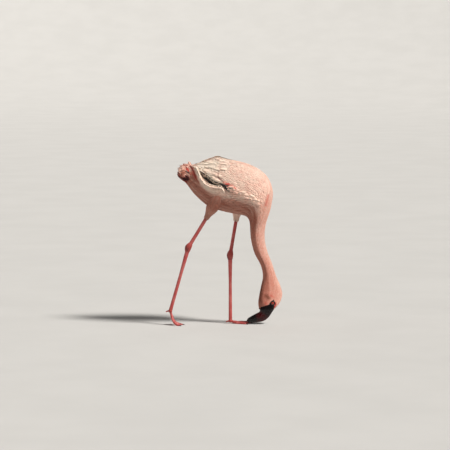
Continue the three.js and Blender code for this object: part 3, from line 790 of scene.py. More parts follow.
class Shader:
    """A material and short ways to add nodes to it."""

    def __init__(self, name, roughness=0.5, **fixed):
        self.material = bpy.data.materials.new(name)
        self.material.use_nodes = True
        self.tree = self.material.node_tree
        self.shader = self.tree.nodes["Principled BSDF"]
        self.set(Roughness=roughness, **fixed)

    def set(self, **sockets):
        for key, value in sockets.items():
            self.shader.inputs[key.replace("_", " ")].default_value = value

    def node(self, kind, fields=None, **inputs):
        node = self.tree.nodes.new("ShaderNode" + kind)
        for key, value in (fields or {}).items():
            setattr(node, key, value)
        for key, value in inputs.items():
            self.plug(node.inputs[int(key[1:]) if key[1:].isdigit() else key.replace("_", " ")], value)
        return node

    def plug(self, socket, value):
        if isinstance(value, bpy.types.NodeSocket):
            self.tree.links.new(value, socket)
        else:
            socket.default_value = value

    def layer(self, name):
        return self.node("Attribute", {"attribute_name": name}).outputs["Fac"]

    def place(self):
        return self.node("TexCoord").outputs["Object"]

    def maths(self, operation, a, b=0.0, c=0.0):
        return self.node("Math", {"operation": operation}, _0=a, _1=b, _2=c).outputs[0]

    def between(self, value, low, high, to_low=0.0, to_high=1.0):
        node = self.node("MapRange", {"interpolation_type": "SMOOTHSTEP"}, Value=value)
        for key, number in zip(("From Min", "From Max", "To Min", "To Max"), (low, high, to_low, to_high)):
            node.inputs[key].default_value = number
        return node.outputs[0]

    def blend(self, share, a, b, how="MIX"):
        node = self.node("Mix", {"data_type": "RGBA", "blend_type": how})
        self.plug(node.inputs[0], share)
        self.plug(node.inputs[6], colour(a))
        self.plug(node.inputs[7], colour(b))
        return node.outputs[2]

    def noise(self, scale, detail=4.0, roughness=0.55, stretch=None):
        vector = self.place()
        if stretch:
            vector = self.node("Mapping", Vector=vector, Scale=stretch).outputs[0]
        node = self.node("TexNoise", Vector=vector, Scale=scale, Detail=detail, Roughness=roughness)
        return node.outputs[0]

    def cells(self, scale):
        return self.node("TexVoronoi", Vector=self.place(), Scale=scale).outputs["Distance"]

    def bump(self, height, strength, distance):
        node = self.node("Bump", Height=height, Strength=strength, Distance=distance)
        before = self.shader.inputs["Normal"]
        if before.is_linked:
            self.tree.links.new(before.links[0].from_socket, node.inputs["Normal"])
        self.tree.links.new(node.outputs[0], before)
        return self

    def strokes(self, drawn, soft, wander):
        """1 on strokes (start, end, half width in x and z) and 0 away from them, with soft edges that
        wander a little."""
        parts = self.node("SeparateXYZ", Vector=self.place()).outputs
        sway = self.maths("MULTIPLY", self.maths("SUBTRACT", self.noise(420.0, 2.0), 0.5), wander)
        found = None
        for (x0, z0), (x1, z1), half in drawn:
            run_x, run_z = x1 - x0, z1 - z0
            square = max(run_x**2 + run_z**2, 1e-12)
            dx, dz = self.maths("SUBTRACT", parts[0], x0), self.maths("SUBTRACT", parts[2], z0)
            gone = self.maths("MULTIPLY_ADD", dx, run_x / square, self.maths("MULTIPLY", dz, run_z / square))
            gone = self.node("Clamp", Value=gone).outputs[0]
            dx = self.maths("MULTIPLY_ADD", gone, -run_x, dx)
            dz = self.maths("MULTIPLY_ADD", gone, -run_z, dz)
            squares = self.maths("MULTIPLY", dx, dx), self.maths("MULTIPLY", dz, dz)
            away = self.maths("SQRT", self.maths("ADD", *squares))
            near = self.maths("SUBTRACT", half, away)
            found = near if found is None else self.maths("MAXIMUM", found, near)
        return self.between(self.maths("ADD", found, sway), -soft, soft)

    def marked(self, coat, marks, where=1.0):
        """A coat with marks on it where a share isn't 0: strokes, their colour, softness, wandering
        and share."""
        for drawn, tone, soft, wander, share in marks:
            there = self.maths("MULTIPLY", self.strokes(drawn, soft, wander), share)
            there = self.maths("MULTIPLY", there, where)
            coat = self.blend(there, coat, tone)
        return coat

    def paint(self, value, socket="Base Color"):
        self.plug(self.shader.inputs[socket], value)
        return self


def colour(value):
    """A colour for a socket: display values become light values, sockets pass as they are."""
    if isinstance(value, bpy.types.NodeSocket):
        return value
    linear = [c / 12.92 if c <= 0.04045 else ((c + 0.055) / 1.055) ** 2.4 for c in tuple(value)[:3]]
    return (*linear, 1.0)


def plumage_material(settings):
    """Soft feathers: the same markings on skin and vanes, with fine barbs on the vanes."""
    made = Shader("soft plumage", roughness=0.8, Sheen_Weight=0.08, Sheen_Roughness=0.5)
    made.set(Specular_IOR_Level=0.15, Subsurface_Weight=0.10, Subsurface_Scale=0.003)
    made.shader.inputs["Subsurface Radius"].default_value = (1.0, 0.45, 0.3)
    coat = made.blend(made.layer("rose"), settings.pale, settings.rose)
    coat = made.blend(made.layer("cream"), coat, settings.cream)
    patches = made.between(made.noise(34.0, 3.0), 0.42, 0.70, 0.0, 0.30)
    coat = made.blend(patches, coat, settings.rose)
    # Painted shade of the underside.
    coat = made.blend(made.maths("MULTIPLY", made.layer("under"), 0.85), coat, settings.under)
    # Painted shade on the wing's tips over the quills.
    coat = made.blend(made.layer("dark"), coat, settings.shade)
    shade = made.maths("MULTIPLY", made.layer("tone"), 0.035)
    tip = made.between(made.layer("tip"), 0.35, 1.0, -0.05, 0.04)
    value = made.maths("ADD", made.maths("ADD", shade, tip), 1.0)
    toned = made.node("HueSaturation", Color=coat, Value=value).outputs[0]
    marks = (
        (ROSY_STROKES, settings.rosy, 0.0050, 0.004, 0.70),
        (BROWN_STROKES, settings.brown, 0.0070, 0.008, 0.85),
        (WINE_STROKES, settings.tail_dark, 0.0026, 0.005, 0.80),
        (CRIMSON_STROKES, settings.crimson, 0.0022, 0.005, 0.9),
        (BROW_STROKES, settings.crimson, 0.0020, 0.003, 0.9),
        (MASK_STROKES, settings.mask, 0.0006, 0.002, 1.0),
    )
    return barbed(made, made.marked(toned, marks), settings.barb, 0.00008)


def barb_lines(made, count):
    """Fine lines that leave a vane's shaft at a slant."""
    parts = made.node("SeparateXYZ", Vector=made.node("UVMap", {"uv_map": "Vane"}).outputs[0])
    away = made.maths("ABSOLUTE", made.maths("SUBTRACT", parts.outputs[0], 0.5))
    slant = made.maths("SUBTRACT", parts.outputs[1], away)
    wave = made.maths("SINE", made.maths("MULTIPLY", slant, count))
    return made.maths("ADD", made.maths("MULTIPLY", wave, 0.5), 0.5)


def barbed(made, coat, shadow, depth):
    """The material painted with a coat of colour, with fine barbs and a shadow between them."""
    barbs = barb_lines(made, 60.0)
    lined = made.blend(made.between(barbs, 0.0, 1.0, 0.16, 0.0), coat, shadow, "MULTIPLY")
    return made.paint(lined).bump(barbs, 0.3, depth).material


def quill_material(settings):
    """Black flight feathers with a faint brown gloss."""
    made = Shader("black quills", roughness=0.5, Sheen_Weight=0.1, Specular_IOR_Level=0.35)
    barbs = barb_lines(made, 70.0)
    coat = made.blend(made.between(made.noise(60.0), 0.4, 0.7), settings.quill, settings.quill_edge)
    return made.paint(coat).bump(barbs, 0.35, 0.00012).material


def tail_material(settings):
    """Rosy tail feathers streaked with crimson and pale edges."""
    made = Shader("rosy tail", roughness=0.75, Sheen_Weight=0.08, Specular_IOR_Level=0.2)
    coat = made.blend(made.layer("rose"), settings.tail_pale, settings.tail)
    streak = made.between(made.noise(120.0, 4.0), 0.45, 0.65, 0.0, 0.5)
    coat = made.blend(streak, coat, settings.tail_dark)
    coat = made.blend(made.layer("dark"), coat, settings.tail_dark)
    coat = made.blend(made.between(made.layer("tip"), 0.75, 0.15, 0.0, 0.7), coat, settings.tail_dark)
    marks = (
        (TAIL_ROSY_STROKES, settings.crimson, 0.0024, 0.005, 0.65),
        (TAIL_PALE_STROKES, settings.tail_pale, 0.0022, 0.005, 0.95),
        (TAIL_SHADOW_STROKES, settings.tail_gap_shadow, 0.0016, 0.004, 0.95),
    )
    value = made.maths("ADD", made.maths("MULTIPLY", made.layer("tone"), 0.06), 1.0)
    locks = made.between(made.layer("under"), 0.0, 1.0, 1.0, 0.0)
    toned = made.node("HueSaturation", Color=made.marked(coat, marks, locks), Value=value).outputs[0]
    return barbed(made, toned, settings.barb, 0.0001)


def leg_material(settings):
    """Scaly crimson-pink skin, darker at the joints."""
    made = Shader("scaly leg skin", roughness=0.42, Specular_IOR_Level=0.45)
    made.set(Subsurface_Weight=0.08, Subsurface_Scale=0.002)
    scales = made.cells(900.0)
    blotch = made.between(made.noise(38.0), 0.38, 0.66)
    skin = made.blend(blotch, settings.leg, settings.leg_pale)
    skin = made.blend(made.layer("joint"), skin, settings.leg_dark)
    skin = made.blend(made.layer("groove"), skin, settings.leg_groove_shade)
    edges = made.between(scales, 0.25, 0.6, 0.0, 0.3)
    skin = made.blend(edges, skin, settings.leg_groove_shade)
    skin = made.marked(skin, ((HOCK_FOLD_SHADE, settings.leg_groove_shade, 0.0020, 0.003, 0.75),))
    made.paint(skin).bump(scales, 0.35, -0.0004)
    made.paint(made.between(made.noise(300.0), 0.3, 0.7, 0.34, 0.52), "Roughness")
    return made.material


def bill_material(settings):
    """Polished maroon horn that turns black at the tip and crimson in the middle."""
    made = Shader(
        "maroon horn", roughness=0.36, Coat_Weight=0.12, Coat_Roughness=0.2, Specular_IOR_Level=0.35
    )
    along = made.layer("along")
    horn = made.blend(made.between(along, 0.22, 0.42), settings.bill_root, settings.bill_middle)
    horn = made.blend(made.between(along, 0.56, 0.72), horn, settings.bill_tip)
    grain = made.noise(160.0, 6.0, 0.6, stretch=(1.0, 0.3, 1.0))
    horn = made.blend(made.between(grain, 0.45, 0.75, 0.0, 0.4), horn, settings.bill_tip)
    made.paint(horn).bump(grain, 0.12, 0.0004)
    made.paint(made.between(grain, 0.3, 0.7, 0.2, 0.4), "Roughness")
    return made.material


def claw_material(settings):
    """Dark horn with fine growth lines."""
    made = Shader("claw horn", roughness=0.35)
    grain = made.noise(500.0, 4.0, 0.5, stretch=(0.2, 1.0, 1.0))
    horn = made.blend(made.between(grain, 0.35, 0.7), settings.claw, settings.claw_pale)
    return made.paint(horn).bump(grain, 0.2, 0.0002).material


def eye_material(settings):
    """A clear cornea over an orange-red iris and a black pupil, by the angle from the eye's axis."""
    made = Shader("wet eye", roughness=0.06, Coat_Weight=1.0, Coat_Roughness=0.02)
    gaze = made.layer("gaze")
    streaks = made.noise(1400.0, 3.0, 0.6)
    iris = made.blend(made.between(streaks, 0.35, 0.65), settings.iris, settings.iris_dark)
    iris = made.blend(made.between(gaze, 36.0, 46.0), iris, settings.mask)
    return made.paint(made.blend(made.between(gaze, 17.5, 19.5), settings.pupil, iris)).material


def lid_material(settings):
    """Bare wrinkled skin round the eye."""
    made = Shader("lid skin", roughness=0.45)
    folds = made.noise(900.0, 5.0, 0.6)
    skin = made.blend(made.between(folds, 0.4, 0.7), settings.mask, settings.lid)
    return made.paint(skin).bump(folds, 0.4, 0.0002).material


def floor_material(settings):
    """Matt and pale, with faint clouds."""
    made = Shader("pale floor", roughness=0.85)
    clouds = made.between(made.noise(3.0, 5.0), 0.3, 0.7)
    return made.paint(made.blend(clouds, settings.floor, settings.floor_shade)).material


# --- skin


def skin_rings(surface, places, count):
    """Rings of points round a surface, as deep under its feathers as the coat goes."""
    place, angle = np.meshgrid(places, turns(count, -math.pi), indexing="ij")
    return surface.point(place, angle, surface.swell(place, angle) - surface.depth(place, angle))


def found_on_body(points):
    """The place and the angle of points on or near the body."""
    places, count = np.linspace(-1.0, FACE, 320), 120
    found, _ = nearest(skin_rings(Body, places, count).reshape(-1, 3), points)
    return places[found // count], turns(count, -math.pi)[found % count]


# --- settings


def metres(name, description, default, low, high):
    """A length that the user may change."""
    return FloatProperty(
        name=name, description=description, default=default, min=low, max=high,
        unit="LENGTH", subtype="DISTANCE",
    )


def tint(name, description, default):
    """A colour that the user may change."""
    return FloatVectorProperty(
        name=name, description=description, default=default, min=0.0, max=1.0,
        size=3, subtype="COLOR_GAMMA",
    )


class PlumageSettings(bpy.types.PropertyGroup):
    """Colours and density of the feathers"""

    pale: tint("Pale", "Back and wings", (0.985, 0.862, 0.790))
    rose: tint("Rose", "Neck, head and breast", (0.900, 0.585, 0.505))
    cream: tint("Cream", "Rump and long wing feathers", (0.960, 0.885, 0.810))
    # Painted shade: greys the wing's tips over the quills.
    shade: tint("Shade", "Worn grey wing feathers", (0.600, 0.540, 0.480))
    # Painted shade: darkens belly, thighs, throat and the neck's shaded side.
    under: tint("Underside", "Deeper tint of belly and throat", (0.620, 0.350, 0.270))
    rosy: tint("Rosy", "Soft red marks", (0.880, 0.350, 0.290))
    # Ear feathers, and painted shade down the throat side of the head.
    brown: tint("Brown", "Ear feathers", (0.480, 0.260, 0.180))
    crimson: tint("Crimson", "Marks in the folded wing and at the brow", (0.760, 0.090, 0.080))
    mask: tint("Mask", "Black feathers of the face", (0.070, 0.018, 0.022))
    barb: tint("Barb shadow", "Between the barbs of a feather", (0.780, 0.580, 0.500))
    quill: tint("Quill", "Flight feathers", (0.045, 0.035, 0.038))
    quill_edge: tint("Quill edge", "Worn edges of the flight feathers", (0.110, 0.080, 0.075))
    tail: tint("Tail", "Tail feathers", (0.840, 0.440, 0.360))
    tail_pale: tint("Tail, pale", "Pale tail feathers", (0.990, 0.820, 0.750))
    # Painted shadow between the tail's locks and under the tail.
    tail_gap_shadow: tint("Tail, gaps", "Between the locks of the tail", (0.200, 0.025, 0.030))
    tail_dark: tint("Tail, dark", "Crimson streaks of the tail", (0.520, 0.095, 0.080))


class BareSettings(bpy.types.PropertyGroup):
    """Colours of legs, bill, claws and eyes"""

    leg: tint("Leg", "Skin of shank, tarsus and toes", (0.780, 0.320, 0.315))
    leg_pale: tint("Leg, pale", "Pale patches of that skin", (0.830, 0.430, 0.410))
    leg_dark: tint("Joints", "Skin of hocks, knuckles and toe joints", (0.700, 0.270, 0.235))
    # Painted shade in the grooves between the scales and in the hocks' folds.
    leg_groove_shade: tint("Grooves", "Between the scales", (0.300, 0.060, 0.060))
    bill_root: tint("Bill root", "Horn near the face", (0.080, 0.014, 0.022))
    bill_middle: tint("Bill middle", "Horn at the bend", (0.240, 0.022, 0.034))
    bill_tip: tint("Bill tip", "Horn of the outer part", (0.040, 0.018, 0.020))
    claw: tint("Claw", "Horn of the claws", (0.120, 0.070, 0.065))
    claw_pale: tint("Claw, pale", "Worn horn of the claws", (0.260, 0.150, 0.130))
    iris: tint("Iris", "Iris", (0.930, 0.280, 0.100))
    iris_dark: tint("Iris, dark", "Streaks of the iris", (0.620, 0.100, 0.050))
    pupil: tint("Pupil", "Pupil", (0.010, 0.008, 0.010))
    mask: tint("Lid edge", "Edge of iris and lids", (0.070, 0.018, 0.022))
    lid: tint("Lid", "Bare skin of the lids", (0.240, 0.040, 0.045))


class StageSettings(bpy.types.PropertyGroup):
    """Floor, light and camera"""

    floor: tint("Floor", "Floor", (0.745, 0.745, 0.740))
    floor_shade: tint("Floor, shade", "Faint clouds in the floor", (0.730, 0.730, 0.725))
    width: metres("View width", "Width that the camera takes in at the bird", 1.521, 0.5, 4.0)
    distance: metres("Distance", "From the camera to the bird", 8.0, 2.0, 20.0)
    aim_x: metres("Aim forwards", "Where the camera looks, along the bird", 0.0027, -1.0, 1.0)
    aim_z: metres("Aim up", "Where the camera looks, above the floor", 0.3376, 0.0, 1.0)
    elevation: FloatProperty(
        name="Elevation", description="The camera's height as an angle", default=math.radians(5.0),
        min=0.0, max=math.radians(60.0), subtype="ANGLE",
    )
    key: FloatProperty(name="Key light", description="Strength of the soft key light", default=4.8, min=0.0)
    sky: FloatProperty(name="Room light", description="Strength of the even light", default=0.13, min=0.0)


class FlamingoSettings(bpy.types.PropertyGroup):
    """Everything that the flamingo's operators read"""

    plumage: PointerProperty(type=PlumageSettings)
    bare: PointerProperty(type=BareSettings)
    stage: PointerProperty(type=StageSettings)


def settings():
    return bpy.context.scene.flamingo


SHARED = {}


def shared(make, group):
    """A material made once from a group of settings and used by every piece of its finish."""
    if make not in SHARED:
        SHARED[make] = make(group)
    return SHARED[make]


class FLAMINGO_OT_skin(bpy.types.Operator):
    """Make the one skin of trunk, neck, head and thighs"""

    bl_idname = "flamingo.skin"
    bl_label = "Skin"
    bl_options = {"REGISTER", "UNDO"}
    voxel = 0.0022
    plain = {"tone": -1.2, "tip": 0.1, "dark": 0.0}  # what the skin has of a feather's own shades

    def execute(self, context):
        along = np.concatenate((np.linspace(-0.9, 12.0, 190), np.linspace(12.05, FACE, 90)))
        dome = -0.29 * np.cos(np.linspace(0, math.pi / 2, 9))[:-1]
        down = np.concatenate((dome, np.linspace(0.0, 1.0, 24)))
        parts = [loft(skin_rings(Body, along, 112))]
        parts += [loft(skin_rings(Thigh(leg), down, 32)) for leg in LEGS.values()]
        skin = remeshed(make_mesh("skin", *joined(parts)), self.voxel, 2)
        points = points_of(skin)
        layers = body_tints(*found_on_body(points))
        layers |= {key: np.full(len(points), value) for key, value in self.plain.items()}
        add_layers(skin.data, layers)
        flesh = ("trunk", "neck_lower", "neck_upper", "head", "thigh_left", "thigh_right")
        finished(skin, shared(plumage_material, settings().plumage), flesh)
        return {"FINISHED"}


class FLAMINGO_OT_plumage(bpy.types.Operator):
    """Cover trunk, neck, head and thighs with contour feathers"""

    bl_idname = "flamingo.plumage"
    bl_label = "Contour feathers"
    bl_options = {"REGISTER", "UNDO"}
    painted_cuff_shades = {"left": 0.0, "right": 0.7}  # share of painted shade at the thighs' lower ends; a low share leaves that end paler, painted light on the lit left thigh
    tuck = 9.0  # degrees that the trunk's coat goes under the wing
    seam = 1.9  # angle between the trunk's upper and lower coat

    def execute(self, context):
        plumage = shared(plumage_material, settings().plumage)
        upper = lambda place, angle: ~in_wing(place, angle, self.tuck) & (np.abs(angle) < self.seam)
        lower = lambda place, angle: ~in_wing(place, angle, self.tuck) & (np.abs(angle) >= self.seam)
        whole = lambda place, angle: np.ones(np.shape(place), bool)
        clear = lambda place, angle: eye_distance(place, angle) > LID_REACH
        # name, first and last place, what is covered there, shape of the feathers
        pieces = (
            ("coat_trunk_upper", -0.4, 6.6, upper, SOFT_VANE),
            ("coat_trunk_lower", -0.4, 6.6, lower, SOFT_VANE),
            ("coat_neck_root", 6.6, 9.2, whole, SOFT_VANE),
            ("coat_neck", 9.2, 12.2, whole, SOFT_VANE),
            ("coat_nape", 12.2, 13.7, whole, SOFT_VANE),
            ("coat_crown", 13.7, 15.0, clear, SMALL_VANE),
            ("coat_face", 15.0, FACE - 0.02, clear, SMALL_VANE),
        )
        for n, (name, first, last, keep, profile) in enumerate(pieces):
            coat_piece(name, first, last, 11 + n, keep, profile, plumage)
        for n, (name, leg) in enumerate(LEGS.items()):
            thigh_coat("coat_thigh_" + name, Thigh(leg), 21 + n, self.painted_cuff_shades[name], plumage)
        return {"FINISHED"}


def thigh_coat(name, thigh, seed, cuff, material):
    """Short feathers that point down a thigh to a cuff with its own share of the deeper tint."""
    everywhere = lambda place, angle: (place > -0.27) & (place < 0.97)
    place, angle = scatter(thigh, lambda u, v: mix(0.0034, 0.0020, fade(0.0, 1.0, u)), everywhere, seed)
    vanes = Vanes(seed + 1)
    rng, count = vanes.rng, len(place)
    # under paints the shade below the belly on the thigh's top and, by the cuff's share, at its lower end; a
    # low share makes that end less rosy, painted light.
    tints = lambda u, v: {
        "rose": 0.70 + 0.10 * np.sin(9 * v) - 0.60 * (1 - cuff) * fade(0.45, 0.75, u),
        "under": mix(mix(0.35, 0.85, fade(0.0, 0.35, u)), cuff, fade(0.45, 0.80, u)),
    }
    vanes.add(
        thigh, place, angle,
        length=mix(0.026, 0.010, fade(0.0, 1.0, place)) * rng.uniform(0.75, 1.15, count),
        width=mix(0.0060, 0.0026, fade(0.0, 1.0, place)) * rng.uniform(0.85, 1.1, count),
        rise=rng.uniform(-0.0002, 0.0003, count), yaw=rng.normal(0, 0.06, count), root=0.5, tints=tints,
    )
    finished(vanes.piece(name), material)


class FLAMINGO_OT_wings(bpy.types.Operator):
    """Lay the coverts, scapulars and long inner feathers of each folded wing, and the black quills"""

    bl_idname = "flamingo.wings"
    bl_label = "Wings"
    bl_options = {"REGISTER", "UNDO"}
    # coverts: where along the body, and their spacing, length and width there
    covert_rows = (
        (0.5, 0.0042, 0.046, 0.0086),
        (2.0, 0.0040, 0.044, 0.0082),
        (3.5, 0.0033, 0.036, 0.0066),
        (5.0, 0.0027, 0.028, 0.0054),
        (6.2, 0.0024, 0.022, 0.0046),
    )
    # feathers of the lower edge in front: where along the body, and their length, width and slant there
    hem_rows = ((3.0, 0.030, 0.0090, 0.10), (4.5, 0.024, 0.0074, 0.34), (6.0, 0.018, 0.0060, 0.38))
    # tips over the quills, greyed with painted shade towards the tail: where along the body, degrees beyond
    # the wing's low edge, length, slant
    tip_rows = (
        (3.05, -9.0, 0.030, 0.06),
        (2.86, -8.0, 0.030, 0.06),
        (2.66, -4.0, 0.028, 0.12),
        (2.50, -2.5, 0.028, 0.14),
        (2.34, -3.5, 0.028, 0.12),
        (2.18, -5.5, 0.028, 0.04),
        (2.00, -8.0, 0.028, 0.00),
        (1.82, -9.0, 0.028, 0.00),
        (1.62, -5.0, 0.022, 0.10),
    )
    # quills: how many in a row, where the first and last start, degrees beyond the wing's low edge
    quill_rows = ((11, 3.35, 1.62, 0.0), (11, 3.35, 1.62, 2.6), (9, 3.1, 1.62, 5.2), (4, 2.2, 1.62, 7.5))

    def execute(self, context):
        plumage, quills = (shared(make, settings().plumage) for make in (plumage_material, quill_material))
        for name, side in SIDES.items():
            seed = 40 + side
            coat = Vanes(seed)
            self.coverts(coat, side, seed)
            for lay in (self.long_feathers, self.crest, self.tips, self.hem, self.flank):
                lay(coat, side)
            finished(coat.piece("wing_coat_" + name), plumage, ("wing_" + name,))
            black = Vanes(seed + 7)
            self.quills(black, side)
            finished(black.piece("quills_" + name), quills, ("flight_feathers_" + name,))
        return {"FINISHED"}

    def coverts(self, coat, side, seed):
        """Sleek overlapping feathers in front that grow longer towards the tail."""
        keep = lambda place, angle: in_wing(place, angle) & (angle * side > 0)
        place, angle = scatter(Body, lambda u, v: sizes_at(self.covert_rows, u)[0], keep, seed)
        rng, count = coat.rng, len(place)
        share = wing_share(place, angle)
        _, length, width = sizes_at(self.covert_rows, place)
        coat.add(
            Body, place, angle,
            length=length * rng.uniform(0.85, 1.15, count), width=width * rng.uniform(0.85, 1.1, count),
            rise=rng.uniform(-0.00005, 0.00005, count), profile=LONG_VANE, root=0.15, ramp=1.3, cup=0.022,
            thick=0.012, yaw=side * (rng.normal(0.0, 0.03, count) + 0.06 * share),
            lane=wing_lane(share), tints=streaked(rng, count),
        )

    @staticmethod
    def long_feathers(coat, side):
        """Scapulars and inner flight feathers that droop over the rump."""
        rng, count = coat.rng, 36
        place = strewn(rng, 3.1, 1.30, count, 0.05)
        share = np.resize((0.06, 0.58, 0.34, 0.80, 0.20, 0.90), count) + rng.normal(0, 0.03, count)
        angle = side * np.radians(wing_lane(share[:, None])(place[:, None])[:, 0])
        coat.add(
            Body, place, angle,
            length=rng.uniform(0.046, 0.060, count), width=rng.uniform(0.013, 0.016, count),
            rise=rng.uniform(0.0001, 0.0003, count), profile=LONG_VANE, hold=0.05, lane=wing_lane(share),
            root=0.18, cup=0.022, thick=0.01, tints=streaked(rng, count),
        )

    @staticmethod
    def crest(coat, side):
        """Scapulars that lie along the wing's upper edge and step down over the rump."""
        rng, count = coat.rng, 20
        place = strewn(rng, 3.3, 1.5, count, 0.03)
        angle = side * np.radians(WING.at(place)[0] + np.resize((1.5, 5.0, 9.0), count))
        coat.add(
            Body, place, angle,
            length=rng.uniform(0.030, 0.038, count), width=rng.uniform(0.0085, 0.0100, count),
            rise=0.0004, profile=LONG_VANE, hold=0.2, root=0.18, cup=0.025, lane=lambda u: WING.at(u)[0],
            tints=streaked(rng, count),
        )

    def tips(self, coat, side):
        """Broad worn grey tips that hang over the black quills."""
        place, hang, length, yaw = np.array(self.tip_rows).T
        coat.add(
            Body, place, side * np.radians(WING.at(place)[1] + hang), length=length,
            width=coat.rng.uniform(0.0105, 0.0125, len(place)), rise=0.0012, profile=LONG_VANE, hold=0.5,
            root=0.2, yaw=side * yaw, curl=0.0006,
            # dark paints the shade of the downturned wing fold on the rear tips.
            tints=lambda u, v: {"cream": 0.9, "dark": 0.8 * fade(3.3, 2.6, u)},
        )

    def hem(self, coat, side):
        """Tips that hang over the wing's front lower edge and cast a ragged shadow."""
        rng, count = coat.rng, 90
        place = strewn(rng, 6.1, 3.35, count, 0.03)
        above = np.resize((2.0, 6.0, 10.0), count) + rng.uniform(0, 2.5, count)
        angle = side * np.radians(WING.at(place)[1] - above)
        length, width, slant = sizes_at(self.hem_rows, place)
        coat.add(
            Body, place, angle, length=length * rng.uniform(0.8, 1.2, count), width=width,
            rise=rng.uniform(0.0002, 0.0018, count), root=0.5, profile=LONG_VANE, hold=0.6,
            yaw=side * (slant + rng.normal(0, 0.10, count)), curl=rng.uniform(0, 0.0020, count),
            tints=streaked(rng, count),
        )

    @staticmethod
    def flank(coat, side):
        """Cream feathers of the fold that holds the wing's edge."""
        rng, count = coat.rng, 240
        place = strewn(rng, 2.95, 0.45, count, 0.02)
        row = np.resize((-4.5, 3.0, -1.5, 5.5, 1.0, 8.0), count)
        angle = side * np.radians(FLANK.at(place)[0] + row + rng.normal(0, 0.7, count))
        coat.add(
            Body, place, angle,
            length=rng.uniform(0.018, 0.026, count), width=rng.uniform(0.0055, 0.0075, count),
            rise=rng.uniform(-0.0002, 0.0005, count) + 0.0019 * (row < 0), root=0.6,
            lane=lambda u: FLANK.at(u)[0], yaw=side * rng.normal(0.02, 0.05, count),
            tints=lambda u, v: body_tints(u, v) | {"cream": 0.95, "rose": 0.10 + 0.2 * stripes(u, v)},
        )

    def quills(self, black, side):
        """The black flight feathers, whose edges show in steps under the wing."""
        rng = black.rng
        for count, first, last, more in self.quill_rows:
            place = np.linspace(first, last, count)
            black.add(
                Body, place, side * np.radians(WING.at(place)[1] + more),
                length=rng.uniform(0.034, 0.044, count), width=0.0080, rise=0.0014 - 0.00008 * more,
                profile=LONG_VANE, root=0.1, thick=0.05, lane=lambda u: WING.at(u)[1],
                yaw=side * rng.normal(0, 0.02, count),
            )


def sizes_at(rows, place):
    """Numbers of rows (place, number, ...) at any place, in straight lines from row to row."""
    where, *columns = np.array(rows).T
    return [np.interp(place, where, column) for column in columns]


def strewn(rng, first, last, count, stray):
    """Places from first to last, each a little away from its own."""
    return np.linspace(first, last, count) + rng.normal(0, stray, count)


def streaked(rng, count):
    """The body's tints, a little rosier on one feather than on the next."""
    more = rng.normal(0.0, 0.10, count)[:, None]

    def tints(place, angle):
        made = body_tints(place, angle)
        return made | {"rose": np.clip(made["rose"] + more, 0, 1)}

    return tints


def wing_share(place, angle):
    """How far down the wing an angle lies, from 0 along the top edge to 1 along the low one."""
    top, low, _, _ = WING.at(place)
    return np.clip((np.abs(np.degrees(angle)) - top) / (low - top), 0, 1)


def wing_lane(share):
    """The line of angles at a share of the way down the wing."""
    share = np.asarray(share)[:, None] if np.ndim(share) == 1 else share

    def lane(place):
        top, low, _, _ = WING.at(place)
        return mix(top, low, share)

    return lane


